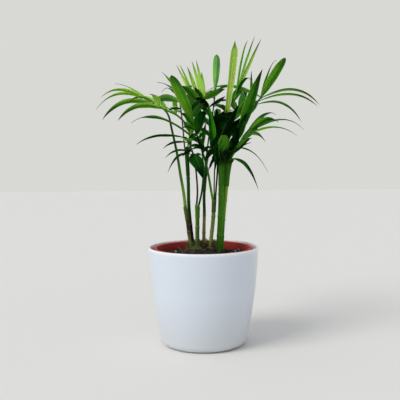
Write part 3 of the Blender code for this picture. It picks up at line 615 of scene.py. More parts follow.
def makeSheaths(finishes):
    d = sheathDetail
    for node, row in sheaths.items():
        cane, sheath = canes[node], dict(zip(sheathColumns, row))
        whole = caneLine(cane, 60)
        top = whole[-1]
        low = [p for p in whole if p.z > top.z - sheath["down"]]
        lean = Vector((*sheath["lean"], 1.0)).normalized()
        line = smoothLine([low[0], low[len(low) // 2], low[-1], top + lean * sheath["up"] * 0.5,
                           top + lean * sheath["up"]], d["steps"])
        mouth = math.atan2(sheath["lean"][1], sheath["lean"][0])
        outer, inner, marks = [], [], []
        for k, (point, along, side, other) in enumerate(stations(line)):
            t = k / (len(line) - 1)
            flare = max(0.0, (t - d["flareFrom"]) / (1 - d["flareFrom"])) ** 1.3
            radius = (cane["radii"][1] + d["wall"]) * (1 + (sheath["spread"] - 1) * flare)
            slant = d["slant"] * max(0.0, (t - d["slantFrom"]) / (1 - d["slantFrom"])) ** 2
            outerRing, innerRing = [], []
            for angle, out in around(side, other, d["sides"]):
                cut = -along * slant * (0.5 + 0.5 * math.cos(angle - mouth))
                r = radius + 0.12 * noise.noise(point * 0.3 + out * 2)
                outerRing.append(point + out * r + cut)
                innerRing.append(point + out * (r - d["wall"]) + cut)
            outer.append(outerRing)
            inner.append(innerRing)
            edge = max(0.0, (t - 1 + sheath["share"]) / sheath["share"])
            dryness = sheath["dry"] + (sheath["edge"] - sheath["dry"]) * edge
            marks.append((0, t, sheath["tone"] + sheath["rim"] * edge, dryness, 0))
        shape = newShape()
        rings = [inner[0], *outer, *reversed(inner[1:])]
        addRings(shape, rings, [marks[0], *marks, *reversed(marks[1:])], caps=False)
        # joins the last inner ring to the first one
        last = (len(rings) - 1) * d["sides"]
        for i in range(d["sides"]):
            j = (i + 1) % d["sides"]
            shape["faces"].append([last + i, last + j, j, i])
            shape["slots"].append(0)
        makePiece(pieceName(node).replace("cane", "sheath"), shape, [finishes["sheath"]], cane["finish"])


# Leaflets: share of the length against share of the full width, for each kind of outline
leafOutlines = {
    "lance": ((0, 0.22), (0.06, 0.42), (0.15, 0.75), (0.35, 1), (0.60, 0.78), (0.80, 0.40), (0.93, 0.15), (1, 0)),
    "tailed": ((0, 0.22), (0.06, 0.45), (0.15, 0.80), (0.34, 1), (0.54, 0.80), (0.70, 0.40), (0.85, 0.17), (1, 0)),
    "strap": ((0, 0.22), (0.06, 0.45), (0.15, 0.80), (0.30, 1), (0.50, 0.85), (0.70, 0.60), (0.87, 0.32), (1, 0)),
    "capped": ((0, 0.50), (0.10, 0.68), (0.35, 0.86), (0.65, 1), (0.84, 0.92), (0.90, 0.50), (0.94, 0.25), (1, 0)),
    "paddle": ((0, 0.22), (0.20, 0.40), (0.35, 0.78), (0.52, 0.97), (0.72, 1), (0.88, 0.82), (0.96, 0.45), (1, 0)),
    "spoon": ((0, 0.52), (0.35, 0.52), (0.46, 0.75), (0.58, 1), (0.70, 0.60), (0.80, 0.25), (0.90, 0.15), (1, 0)),
    "drop": ((0, 0.22), (0.20, 0.45), (0.50, 0.72), (0.75, 1), (0.90, 0.85), (0.97, 0.50), (1, 0)),
    "whip": ((0, 0.22), (0.06, 0.50), (0.14, 0.86), (0.25, 1), (0.40, 0.70), (0.55, 0.40), (0.75, 0.18), (1, 0)),
    "blunt": ((0, 0.22), (0.06, 0.40), (0.15, 0.70), (0.40, 1), (0.66, 0.94), (0.85, 0.70), (0.95, 0.40), (1, 0)),
}
# one half of each blade is painted lighter than the other, at random unless a frond lists it: painted light and
# shade across the fold
leafDetail = {
    "steps": 26, "halfAcross": 6, "droopAt": 0.62, "fold": 0.20, "pleats": 2.5, "pleatDepth": 0.022, "wave": 0.025,
    "waves": (2.0, 3.5), "thickness": 0.30, "rib": 0.45, "ribWidth": 0.55, "stemThickness": 1.0, "stemShare": 0.07,
    "twist": 0.22, "sickle": 0.012, "paintedHalfLight": 0.10, "baseLight": 0.10, "tipDark": 0.62, "tipBrown": 1.0}


def addLeaflet(shape, rng, root, tip, rise, width, facing, tone, outline, half, cool):
    # half is how much paler one half of the blade is, a painted light on that half and painted shade on the other,
    # and cool how blue the blade is
    d, stops = leafDetail, leafOutlines[outline]
    chord = tip - root
    level = Vector((chord.y, -chord.x, 0.0)).normalized()
    square = chord.cross((root + tip) / 2 - eye).normalized()
    if square.dot(level) < 0:
        square = -square
    across = (level * (1 - abs(facing)) + square * facing).normalized()
    bend = root.lerp(tip, d["droopAt"]) + up * 2 * rise
    twist = rng.uniform(-1, 1) * d["twist"]
    sickle = rng.uniform(-1, 1) * d["sickle"] * chord.length
    waves, phase = rng.uniform(*d["waves"]), rng.uniform(0, 6)
    halfLightShift = rng.uniform(-1, 1) * d["paintedHalfLight"]
    # a listed half is painted light on the upper or left half of the blade and painted shade on the other
    if half is not None:
        halfLightShift = half if across.z > across.x else -half
    pointed = 1 - eased(stops, 0.9)
    tipDryness = (rng.random() * pointed) ** 3
    lightness = max(0.0, min(1.0, 2.5 * tone - 0.5))
    shares = []
    for k in range(d["steps"] + 1):
        s = k / d["steps"]
        shares.append(0.55 * s + 0.45 * (0.5 - 0.5 * math.cos(math.pi * s)))  # closer together at both ends
    rib = [root * (1 - t) ** 2 + bend * (2 * t * (1 - t)) + tip * t ** 2
           + across * sickle * 4 * t * (1 - t) for t in shares]
    rings, marks = [], []
    for t, point, along in zip(shares[:-1], rib, directions(rib)):
        side = (across - along * across.dot(along)).normalized()
        lift = side.cross(along)
        turn = twist * t * t
        side, lift = side * math.cos(turn) + lift * math.sin(turn), lift * math.cos(turn) - side * math.sin(turn)
        full = max(eased(stops, t), 0.02) * width
        taper = pointed * t * t * (1 - full / width)
        stem = max(0.0, 1 - t / d["stemShare"])
        thick = d["thickness"] + (d["stemThickness"] - d["thickness"]) * stem ** 1.5
        fold = d["fold"] * full * (1 - 0.4 * t)
        dryness = max(tipDryness * max(0.0, (t - 0.93) / 0.07), d["tipBrown"] * taper * lightness) - cool
        top, under, topMarks, underMarks = [], [], [], []
        for i in range(-d["halfAcross"], d["halfAcross"] + 1):
            u = i / d["halfAcross"]
            height = fold * (0.5 - abs(u))
            height += d["pleatDepth"] * full * math.cos(2 * math.pi * d["pleats"] * abs(u)) * (1 - stem)
            height += d["wave"] * full * u * u * math.sin(waves * 2 * math.pi * t + phase) * (1 - stem)
            ribBulge = d["rib"] * (1 - 0.75 * t) * bump(u * full / 2, 0, d["ribWidth"])
            rounding = thick * (1 - abs(u) ** 3) / 2
            shade = (tone + halfLightShift * max(-1.0, min(1.0, 4 * u)) + d["baseLight"] * (0.6 - t)
                     - d["tipDark"] * taper)
            top.append(point + side * u * full / 2 + lift * (height + rounding))
            topMarks.append((u, t, shade, dryness, 0))
            if abs(u) < 1:
                under.append(point + side * u * full / 2 + lift * (height - rounding - ribBulge))
                underMarks.append((u, t, shade, dryness, 1))
        rings.append(top + under[::-1])
        marks.append(topMarks + underMarks[::-1])
    rings.append([tip])
    marks.append([(0, 1, tone, tipDryness - cool, 0)])
    addRings(shape, rings, marks)


# Fronds: leaflets are (share of the line, x, z and y of the tip, rise of the arch, width, share turned to
# the eye), numbered from 0 for the tones, outlines, halves and cool ones; a half is painted light on one half of
# the blade, and the low tones in the dark middle and under the crown are painted shade. Stalk stops are (share,
# tone, dryness), and the line is (x, z, y).
fronds = {
    "frond_left_arch": {
        "finish": "light_leaf", "cane": "cane_left_front", "seat": (0, 0), "radii": (1.9, 0.9), "tone": 0.8,
        "tones": {0: 0.7, 1: 0.7, 2: 0.7, 3: 0.64, 4: 0.74},
        "outlines": {0: "strap", 1: "tailed", 2: "whip", 3: "whip"}, "litHalves": {0: 0.14, 1: 0.14, 3: 0.12},
        "stalk": [(0, 0.8, 0.65), (0.12, 0.72, 0.55), (0.25, 0.5, 0.3), (0.56, 0.3, 0.1), (0.72, 0.34, 0.05),
                  (0.85, 0.6, 0), (1, 0.7, 0)],
        "line": [(-22.6, 178, 9), (-26.2, 200, 7), (-30.5, 228, 4), (-36, 254, 0), (-40, 271, -4),
                 (-49, 281, -9), (-60, 287.5, -14), (-70, 292, -18)],
        "leaflets": [
            (1, -118, 292, -40, 9.5, 6, 0.4), (0.97, -124.5, 277.5, -23, 13, 6, 0.4),
            (0.95, -102, 307.5, 22, 3.5, 4, 0.3), (0.9, -88, 283.5, -50, 8, 8, 0.5),
            (0.85, -58, 292, -40, 5, 8, 0.3), (0.86, -74, 288, 26, 7, 8, -0.3)]},
    "frond_left_mid": {
        "finish": "light_leaf", "cane": "cane_left_tall", "seat": (0.9, -1), "radii": (1.3, 1.1), "tone": 0.6,
        "tones": {1: 0.55, 2: 0.44}, "outlines": {0: "strap", 1: "strap", 2: "spoon"},
        "litHalves": {0: 0.15, 1: 0.15, 2: 0.15},
        "stalk": [(0, 0.3, 0.3), (0.3, 0.38, 0.5), (0.5, 0.42, 0.5), (0.7, 0.48, 0.4), (1, 0.6, 0.1)],
        "line": [(-14, 238, 10), (-14.5, 249, 9), (-19, 260, 9), (-29, 270, 10), (-40, 275.5, 12),
                 (-52, 281, 14)],
        "leaflets": [
            (0.96, -117.5, 265.5, 42, 17, 9, 0.5), (0.9, -99.5, 264, 14, 12, 9, 0.5),
            (0.33, -84, 261.5, -36, 13.5, 6, 0.45), (0.84, -62, 295, 50, 5, 7, 0.3),
            (0.7, -33, 291, 34, 4, 6, 0.2), (0.62, -44, 281.5, 30, 1, 3.5, 0.2),
            (0.3, -4, 272, -22, 4, 6, 0.4), (0.2, -25, 243, 15, 4, 6, 0.4)]},
    "frond_left_high": {
        "finish": "mid_leaf", "cane": "cane_left_tall", "seat": (-1.3, 0.2), "radii": (0.9, 0.7), "tone": 0.6,
        "tones": {1: 0.15, 2: 0.15, 3: 0.78, 4: 0.48},
        "outlines": {0: "blunt", 1: "whip", 2: "whip", 3: "tailed"}, "litHalves": {0: 0.1, 3: -0.25, 4: 0.4},
        "cool": {0: 0.5, 4: 0.4},
        "stalk": [(0, 0.2, 0.3), (0.5, 0.2, 0.5), (1, 0.35, 0.1)],
        "line": [(-21.3, 235, 20), (-22.5, 250, 21), (-24, 268, 20), (-25.5, 280, 17), (-27, 291, 13),
                 (-28.5, 301, 8)],
        "leaflets": [
            (0.8, -58, 284, 5, 6.5, 10, 0.6), (0.95, -53, 308.5, 40, 3, 3.5, 0.2),
            (0.86, -47.5, 297, 44, 8, 3.5, 0.2), (1, -47, 320.5, 25, 1, 5, 0.2),
            (0.7, -40, 275.5, -20, 3, 6, 0.55), (0.64, -33, 275, 30, 2, 5, 0.2), (0.92, -8, 302, 50, 5, 9, 0.2)]},
    "frond_fan": {
        "finish": "light_leaf", "cane": "cane_centre_left", "seat": (1.3, 0.6), "radii": (1.2, 0.8),
        "tone": 0.86,
        "tones": {6: 0.5, 7: 0.58, 8: 0.55, 9: 0.5, 10: 0.45, 11: 0.4, 12: 0.25, 13: 0.48, 14: 0.42},
        "outlines": {8: "strap"}, "litHalves": {6: -0.12, 7: 0.04},
        "stalk": [(0, 0.3, 0.05), (0.3, 0.2, 0), (0.5, 0.55, 0.1), (0.8, 0.7, 0), (1, 0.3, 0)],
        "line": [(-1.5, 180, 16), (0.3, 196, 20), (0.5, 212, 24), (-1, 232, 28), (-3, 252, 30), (-6, 270, 31),
                 (-7, 281, 32), (-3, 288, 33), (4, 291, 34)],
        "leaflets": [
            (0.88, -30, 329, 48, 1, 4.5, 0.45), (0.9, -26, 329.5, 62, 1, 4, 0.2),
            (0.93, -17.5, 327, 34, 1, 6, 0.6), (0.96, -12, 333.5, 66, 1, 4.5, 0.45),
            (0.98, -7, 334.5, 58, 1, 4.5, 0.2), (1, -0.5, 320.5, 46, 1, 5, 0.45),
            (0.93, -25, 304.5, -8, 4, 11, 0.35), (0.97, 27, 300.5, 4, 2, 10, 0.45),
            (1, 40, 303, 60, 5, 4.5, 0.3), (0.9, 14, 300, 50, 3, 7, 0.2), (0.85, -22, 295, -12, 4, 9, 0.35),
            (0.8, -24, 276, 20, 4, 8, 0.35), (0.72, 6, 262, 8, 4, 7, 0.35), (0.95, -21, 303, 14, 2, 9, 0.3),
            (0.97, -9, 303, 17, 1, 8, 0.3)]},
    "frond_centre_back": {
        "finish": "mid_leaf", "cane": "cane_centre_thin", "seat": (-0.9, -0.9), "radii": (1, 0.7), "tone": 0.25,
        "tones": {0: 0.6}, "outlines": {0: "paddle"}, "litHalves": {0: 0.06}, "cool": {0: 0.8, 1: 0.3, 2: 0.3},
        "stalk": [(0, 0.3, 0.1), (1, 0.15, 0)],
        "line": [(3.6, 215, 12), (6, 235, 15), (9, 255, 19), (12, 272, 25), (14, 288, 32), (15.5, 301, 38)],
        "leaflets": [
            (0.87, 17.2, 340.5, 66, 2, 9, 0.2), (0.8, 27, 292, -4, 0, 4.5, 0.35),
            (0.84, 36, 286.5, 8, 2, 4.5, 0.35), (0.7, -6, 262, 64, 8, 10, 0.2),
            (0.78, 30, 268, 68, 8, 10, 0.2), (0.88, -2, 291, 72, 6, 8, 0.2), (0.94, 34, 298, 41, 7, 7, 0.2),
            (0.66, 2, 268, -16, 5, 6, 0.35)]},
    "frond_upright": {
        "finish": "light_leaf", "cane": "cane_centre_right", "seat": (0.2, 1.3), "radii": (0.8, 0.8),
        "tone": 0.86,
        # the low tones of leaflets 6 to 11, broad leaves filling the dark middle, are painted shade, and so is the
        # stalk's dark stretch
        "tones": {0: 0.82, 1: 0.6, 2: 0.56, 3: 0.74, 4: 0.25, 5: 0.3, 6: 0.14, 7: 0.05, 8: 0.02, 9: 0.03,
                  10: 0.03, 11: 0.03},
        "outlines": {0: "capped", 1: "strap"}, "litHalves": {0: -0.06, 2: -0.18, 3: -0.18},
        "stalk": [(0, 0.3, 0.2), (0.3, 0.2, 0.1), (0.7, 0.12, 0), (1, 0.5, 0.1)],
        "line": [(13.3, 190, 12), (14.2, 210, 12), (17, 230, 11), (21.5, 250, 10), (26.5, 266, 10),
                 (33, 281, 12), (40, 294, 15)],
        "leaflets": [
            (0.78, 38.5, 356.5, -4, 0, 10, 0.2), (1, 53.5, 356, 40, 9, 3, 0.2),
            (0.98, 61.5, 361, 23, 3, 4.5, 0.3), (0.95, 69, 358, 9, 3, 6, 0.4),
            (0.98, 57.5, 310, -10, 9, 4.5, 0.35), (0.9, 52, 289, 48, 14, 10, 0.35),
            (0.36, 8, 268, 34, 2, 8, 0.2), (0.42, 17, 279, 34, 1, 12, 0.2), (0.48, 29, 277, 9, 1, 15, 0.2),
            (0.54, 43, 283, 8, 1, 16, 0.35), (0.5, 47, 268, -12, 3, 14, 0.45), (0.4, 36, 260, -20, 3, 14, 0.45)]},
    "frond_right_arch": {
        "finish": "mid_leaf", "cane": "cane_right_back", "seat": (1.2, 0.9), "radii": (1.9, 0.8), "tone": 0.42,
        "tones": {0: 0.47, 1: 0.25, 5: 0.43, 6: 0.25, 7: 0.12, 9: 0.25, 10: 0.58},
        "outlines": {0: "blunt", 1: "whip", 2: "strap", 3: "strap", 4: "strap", 5: "lance", 10: "strap"},
        "litHalves": {0: 0.08, 2: -0.15, 3: -0.15, 4: -0.1, 5: 0.08, 10: -0.12},
        "stalk": [(0, 0.4, 0), (0.5, 0.3, 0), (1, 0.35, 0.1)],
        "line": [(36, 228, 6), (41, 242, 4), (48, 258, 2), (56, 272, 0), (63, 283, -2), (69, 291.5, -4)],
        "leaflets": [
            (1, 97, 336, -36, 2, 10, 0.7), (0.97, 87, 333, 26, 9, 3, 0.2), (0.96, 137, 280.5, 20, 15, 5, 0.45),
            (0.92, 135, 279, 52, 13, 4.5, 0.45), (0.86, 116, 261, 46, 14, 4.5, 0.45),
            (0.42, 70.5, 323.5, -59, 1, 12, 0.7), (0.3, 52, 273, -24, 2, 9, 0.6),
            (0.22, 40, 257, -20, 2, 9, 0.6), (0.8, 57.5, 322, 50, 0, 4, 0.2), (0.7, 66, 286, 58, 5, 9, 0.2),
            (0.99, 4, 297, 65, 10.5, 7.5, 0.35), (0.1, 43, 240, 14, 1, 6, 0.3)]},
    "frond_right_low": {
        "finish": "mid_leaf", "cane": "cane_right_back", "seat": (-0.4, -2.3), "radii": (1.2, 0.8),
        "tone": 0.34,
        "tones": {0: 0.43, 1: 0.43, 2: 0.53, 3: 0.34, 4: 0.32, 5: 0.28, 6: 0.14, 7: 0.27, 8: 0.42},
        "outlines": {0: "whip", 2: "whip", 3: "tailed"}, "litHalves": {1: 0.15, 3: 0.25, 5: 0.12, 7: 0.1},
        "stalk": [(0, 0.4, 0), (0.3, 0.55, 0), (1, 0.75, 0)],
        "line": [(37, 226, -6), (42, 236, -11), (48, 244, -15), (56, 251, -19)],
        "leaflets": [
            (1, 119.5, 251.5, 4, 13, 5, 0.45), (0.95, 89, 261, -44, 9, 9, 0.45),
            (0.88, 111.5, 244.5, -52, 10, 5.5, 0.45), (0.7, 74, 238, -64, 9, 7.5, 0.4),
            (0.85, 86, 270, 24, 10, 6, 0.35), (0.55, 76, 268, -24, 3, 9, 0.55),
            (0.3, 58, 243, -40, 4, 7, 0.45), (0.1, 65.4, 182, -40, 14, 6, 0.35), (0.4, 66, 253, -85, 6, 6, 0.4)]},
    "frond_right_skirt": {
        "finish": "dark_leaf", "cane": "cane_right_back", "seat": (-2.1, 0.5), "radii": (1, 0.8), "tone": 0.25,
        "tones": {2: 0.15, 3: 0.1, 4: 0.1, 5: 0.06}, "outlines": {0: "whip"}, "litHalves": {0: 0.1},
        "stalk": [(0, 0.3, 0), (1, 0.2, 0)],
        "line": [(31, 221, 2), (33, 227, -2), (36, 232, -4)],
        "leaflets": [
            (1, 77, 202, 14, 12, 4, 0.3), (0.85, 57, 238, -1, 1, 6, 0.2), (0.7, 24, 221, -74, 5, 9, 0.2),
            (0.95, 34, 244, -10, 1, 7, 0.2), (0.35, 31, 240, -4, 1, 10, 0.2), (0.03, 27, 232, 21, 1, 6, 0.2)]},
    "frond_left_skirt": {
        "finish": "dark_leaf", "cane": "cane_centre_left", "seat": (-1.2, -0.6), "radii": (1.2, 0.7),
        "tone": 0.3,
        "tones": {3: 0.26, 4: 0.2, 5: 0.12, 6: 0.2, 7: 0.3, 8: 0.35, 9: 0.15, 10: 0.4, 11: 0.15},
        "litHalves": {3: 0.12}, "cool": {4: 0.05},
        "stalk": [(0, 0.25, 0.4), (0.4, 0.15, 0.2), (1, 0.25, 0.1)],
        "line": [(-6.5, 180, 3), (-7.5, 200, 0), (-9.5, 216, -5), (-12, 228, -10), (-16, 238, -14),
                 (-21, 245, -18)],
        "leaflets": [
            (0.7, -41.5, 203, -38, 12, 5, 0.3), (0.76, -44, 220.5, -28, 6, 5, 0.35),
            (0.9, -46.5, 231.5, 5, 5, 5, 0.35), (1, -78, 236.5, -42, 7, 7, 0.3),
            (0.74, 0.5, 195, -34, 5, 17, 0.3), (0.66, -1, 212, -16, 5, 8, 0.35),
            (0.8, 6, 226, -42, 5, 7, 0.35), (0.92, -2, 248, -40, 4, 6, 0.35), (0.7, -1, 223, -10, 2, 6, 0.5),
            (0.86, -2, 232, -38, 2, 6, 0.5), (0.96, -6, 239, -50, 2, 5, 0.5), (0.8, -24, 222, -30, 2, 5, 0.5)]},
    "frond_front_left": {
        "finish": "mid_leaf", "cane": "cane_centre_right", "seat": (-1.4, -0.5), "radii": (1.5, 0.8),
        "tone": 0.35,
        "tones": {0: 0.54, 1: 0.19, 2: 0.2, 3: 0.3, 4: 0.15, 5: 0.33, 6: 0.28, 7: 0.38, 8: 0.25, 9: 0.3,
                  10: 0.36, 11: 0.12},
        "outlines": {0: "blunt"}, "litHalves": {0: 0.05, 1: 0.05, 9: 0.06},
        "stalk": [(0, 0.6, 0.1), (0.3, 0.45, 0), (0.6, 0.25, 0), (1, 0.15, 0)],
        "line": [(8.3, 190, 2), (6.3, 202, 0), (3, 217, -6), (-2, 233, -13), (-7, 248, -21), (-11, 262, -28),
                 (-13, 274, -34)],
        "leaflets": [
            (0.9, -36, 317, -88, 3, 12.5, 0.2), (0.76, -2, 284, -46, 2, 8, 0.5),
            (0.74, 5, 280, -34, 2, 8, 0.5), (0.7, 9, 251.5, -34, 3, 5, 0.5), (0.72, 3, 228, -46, 1, 6, 0.5),
            (0.84, -26, 272, -62, 5, 6, 0.45), (0.8, -25, 254, -50, 4, 6, 0.5),
            (0.64, -17, 246, -20, 3, 6, 0.5), (1, -2, 288, -69, 3, 7.5, 0.3),
            (0.94, 3, 284, -70, 3, 7.5, 0.45), (0.97, -22, 290, -50, 3, 6, 0.45),
            (0.56, 4, 262, -10, 3, 5, 0.5)]},
    "frond_front": {
        "finish": "dark_leaf", "cane": "cane_centre_right", "seat": (1.5, -0.6), "radii": (1.1, 0.8),
        "tone": 0.1,
        # the near-black tones here are painted shade in the dark middle of the plant
        "tones": {0: 0.38, 1: 0, 2: 0, 3: -0.02, 4: -0.02, 5: 0.18, 6: 0.12, 7: 0.02},
        "outlines": {0: "drop"}, "litHalves": {0: -0.12},
        "stalk": [(0, 0.3, 0.2), (0.4, 0.15, 0), (1, 0.05, 0)],
        "line": [(16, 190, 4), (17, 202, 0), (17.5, 214, -6), (18, 226, -13), (16.5, 240, -22), (13, 256, -32),
                 (9.5, 270, -40), (7, 283, -46)],
        "leaflets": [
            (1, 12.5, 242.5, -80, 4, 7.5, 0.35), (0.74, 37, 274, -22, 4, 14, 0.45),
            (0.7, 25, 275, -49, 3, 14, 0.2), (0.8, 33, 264, -72, 6, 13, 0.45),
            (0.86, 20, 244, -76, 3, 10, 0.5), (0.9, -8, 280, -40, 3, 6, 0.4), (0.97, 27, 292, -60, 1, 4, 0.35),
            (0.97, -8, 290.5, -50, 2, 9, 0.5)]},
    "frond_back": {
        "finish": "mid_leaf", "cane": "cane_centre_thin", "seat": (0.9, 0.9), "radii": (1.1, 0.7), "tone": 0.3,
        "line": [(5, 214, 22), (9, 232, 34), (13, 246, 47), (15, 256, 60), (16, 263, 74)],
        "leaflets": [
            (0.5, 38, 246, 62, 8, 10, 0.2), (0.6, -14, 252, 68, 8, 10, 0.2), (0.7, 44, 258, 84, 9, 10, 0.2),
            (0.76, -12, 268, 86, 8, 10, 0.2), (0.86, 37, 274, 102, 8, 10, 0.2),
            (0.92, -4, 280, 106, 8, 9, 0.2), (1, 20, 274, 118, 8, 9, 0.2)]},
    "frond_back_left": {
        "finish": "mid_leaf", "cane": "cane_left_tall", "seat": (0.4, 1.4), "radii": (0.9, 0.7), "tone": 0.35,
        "line": [(-17, 236, 27), (-14, 250, 40), (-12, 262, 54), (-12, 270, 68)],
        "leaflets": [
            (0.5, -22, 260, 66, 6, 9, 0.2), (0.6, -20, 276, 70, 6, 9, 0.2), (0.7, 6, 262, 55, 7, 9, 0.2),
            (0.82, -24, 288, 100, 7, 9, 0.2), (0.9, 4, 282, 100, 7, 9, 0.2), (1, -12, 290, 116, 7, 9, 0.2)]},
    "frond_back_right": {
        "finish": "mid_leaf", "cane": "cane_right_front", "seat": (1.2, 1.4), "radii": (1.1, 0.7), "tone": 0.35,
        "line": [(25.5, 228, 12), (28, 242, 24), (33, 256, 38), (38, 268, 52), (43, 278, 66)],
        "leaflets": [
            (0.5, 47, 246, 52, 6, 9, 0.2), (0.6, 14, 262, 62, 7, 9, 0.2), (0.72, 54, 276, 82, 6, 9, 0.2),
            (0.85, 62, 290, 94, 7, 9, 0.2), (0.9, 30, 286, 92, 7, 9, 0.2), (1, 52, 296, 119, 7, 9, 0.2)]},
    "frond_low_centre": {
        "finish": "dark_leaf", "cane": "cane_right_front", "seat": (-1.7, -0.9), "radii": (1, 0.7),
        "tone": 0.15,
        "line": [(20, 221, -13), (15.5, 228, -23), (10, 233, -32)],
        "leaflets": [
            (0.45, 6, 203, -42, 5, 4.5, 0.2), (0.6, 9, 208, -16, 3, 4.5, 0.2), (0.75, 2, 213, -49, 6, 6, 0.2),
            (0.9, -1, 222, -64, 6, 6, 0.2), (0.66, 15, 206, -52, 5, 4.5, 0.2), (1, 18, 240, -74, 6, 8, 0.2),
            (0.5, 11, 213, -32, 3, 8, 0.3), (0.3, 13.5, 211, -24, 2, 6, 0.3), (0.85, 6, 219, -44, 3, 9, 0.3)]},
}
# seatGap is the room under a petiole, lastRoot the last share of the line where a leaflet starts, and joint the
# swelling there
frondDetail = {
    "sides": 12, "petioleSteps": 10, "steps": 54, "channel": 0.3, "seatGap": 0.3, "lastRoot": 0.99, "joint": 0.12,
    # rightTone paints the stalks' right side lighter than their left, as painted light and shade
    "jointWidth": 0.012, "toneSpread": 0.05, "rightTone": 0.12, "sharpAt": 60}
leafColours = [
    (0.0, (0.0004, 0.009, 0.0006)), (0.2, (0.0015, 0.034, 0.002)), (0.4, (0.018, 0.15, 0.005)),
    (0.6, (0.095, 0.33, 0.011)), (0.8, (0.28, 0.58, 0.045)), (1.0, (0.52, 0.82, 0.16))]
leafTints = {
    "brown": (0.11, 0.07, 0.02), "cool": (0.03, 0.03, 0.07), "sheen": (0.35, 1.0, 0.22, 1.0),
    "pale": (2.6, 2.0, 3.2), "under": (1.25, 1.08, 1.3)}
leafLooks = {
    "dark_leaf": {"roughness": 0.42, "subsurface": 0.05, "gloss": 0.06, "ior": 1.2},
    "mid_leaf": {"roughness": 0.40, "subsurface": 0.15, "gloss": 0.22, "ior": 1.3},
    "light_leaf": {"roughness": 0.42, "subsurface": 0.28, "gloss": 0.25, "ior": 1.35},
    "leaf_stalk": {"roughness": 0.40, "subsurface": 0.12, "gloss": 0.25, "ior": 1.35}}


def leafFinish(name, look):
    finish, shader = newFinish(name)
    across, along = markOf(finish, "across"), markOf(finish, "along")
    offRib = sumOf(finish, across, 0.0, "ABSOLUTE")
    patches = noiseOf(finish, 70.0, 3.0)
    tone = sumOf(finish, markOf(finish, "tone"), spread(finish, patches, -0.13, 0.13))
    lane = put(finish, "CombineXYZ", {"X": across, "Y": sumOf(finish, along, 0.15, "MULTIPLY")}).outputs[0]
    veins = put(finish, "TexWave", {"Vector": lane, "Scale": 2.6, "Distortion": 0.6, "Detail": 1.0},
                bands_direction="X").outputs["Fac"]
    colour = rampOf(finish, sumOf(finish, tone, spread(finish, veins, -0.10, 0.10)), leafColours)
    # a pale rib and a thin pale margin: partly the blade's own pale rib and edge, partly a painted highlight along
    # them
    pale = mixOf(finish, 1.0, colour, leafTints["pale"], "MULTIPLY")
    colour = mixOf(finish, spread(finish, offRib, 0.6, 0.0, 0.03, 0.10), colour, pale)
    colour = mixOf(finish, spread(finish, offRib, 0.0, 0.7, 0.80, 0.96), colour, pale)
    below = mixOf(finish, 1.0, colour, leafTints["under"], "MULTIPLY")
    colour = mixOf(finish, markOf(finish, "under"), colour, below)
    # the dry mark makes a blade brown where it is above 0, and bluish where it is below
    dryness = markOf(finish, "dry")
    bluish = mixOf(finish, 1.0, colour, leafTints["cool"], "ADD")
    colour = mixOf(finish, spread(finish, dryness, 0.0, 1.0, 0.0, -1.0), colour, bluish)
    colour = mixOf(finish, spread(finish, dryness, 0.0, 1.0), colour, leafTints["brown"])
    link(finish, colour, shader.inputs["Base Color"])
    roughness = spread(finish, patches, look["roughness"] - 0.06, look["roughness"] + 0.12)
    link(finish, roughness, shader.inputs["Roughness"])
    ribbed = bumpOf(finish, veins, 0.35, 0.0004)
    link(finish, bumpOf(finish, noiseOf(finish, 1300.0, 2.0), 0.12, 0.0002, ribbed), shader.inputs["Normal"])
    gloss = spread(finish, markOf(finish, "tone"), 0.03, look["gloss"], 0.0, 0.4)
    link(finish, gloss, shader.inputs["Specular IOR Level"])
    setOn(shader, {"Subsurface Weight": look["subsurface"], "Subsurface Radius": (0.6, 1.0, 0.15),
                   "Subsurface Scale": 0.0012, "IOR": look["ior"], "Specular Tint": leafTints["sheen"]})
    return finish


def makeFronds(finishes):
    d = frondDetail
    rng = random.Random(11)
    for node, frond in fronds.items():
        top = seen(*canes[frond["cane"]]["line"][-1])
        points = [top + Vector((*frond["seat"], d["seatGap"])), *(seen(*p) for p in frond["line"])]
        coarse = smoothLine(points, d["petioleSteps"])
        line = smoothLine(points, d["steps"])
        base, tip = frond["radii"]
        stalk = frond.get("stalk", [(0, frond["tone"] + 0.05, 0.1), (1, frond["tone"], 0)])
        roots = [min(leaflet[0], d["lastRoot"]) for leaflet in frond["leaflets"]]
        radii, marks = [], []
        for k in range(len(line)):
            t = k / (len(line) - 1)
            joint = max(bump(t, share, d["jointWidth"]) for share in roots)
            radii.append((base + (tip - base) * t) * (1 + d["joint"] * joint))
            marks.append((0, t, *lookAt(stalk, t), 0))
        shape = newShape()
        addTube(shape, line, radii, d["sides"], marks, slot=1, channel=d["channel"], rightTone=d["rightTone"])
        tones, outlines, litHalves, cools = (frond.get(key, {}) for key in ("tones", "outlines", "litHalves", "cool"))
        for i, (share, x, z, y, rise, width, facing) in enumerate(frond["leaflets"]):
            tone = tones.get(i, frond["tone"]) + rng.uniform(-1, 1) * d["toneSpread"]
            addLeaflet(shape, rng, pointOn(coarse, roots[i]), seen(x, z, y), rise, width, facing, tone,
                       outlines.get(i, "lance"), litHalves.get(i), cools.get(i, 0.0))
        slot = frond["finish"]
        makePiece(pieceName(node), shape, [finishes[slot], finishes["leaf_stalk"]], slot, [node], d["sharpAt"])


# Spear: the youngest leaf, still rolled up; creases are (depth, place round it, width), and wound is how far
# the roll's radius falls over one turn
spear = {
    "cane": "cane_right_front", "seat": (0.7, -1.4), "radii": (0.9, 5.0, 6.9, 5.9, 3.6), "sides": 30, "steps": 34,
    "line": [(23.5, 228, -8), (24.8, 235.5, -10), (25.3, 241.5, -12), (25.3, 246.5, -13)],
    # the tones darken the spear's lower part: painted shade under the fronds and sheaths round it
    "tones": [(0.0, 0.02), (0.35, 0.12), (0.6, 0.40), (1.0, 0.50)], "stripes": 7, "dryness": 0.3, "roll": 0.35,
    "wound": 0.10, "windTone": 0.12, "stripeTone": 0.10, "tipLength": 0.6,
    "creases": ((0.10, 0.0, 0.04), (0.06, 0.45, 0.04), (0.06, 0.72, 0.03))}


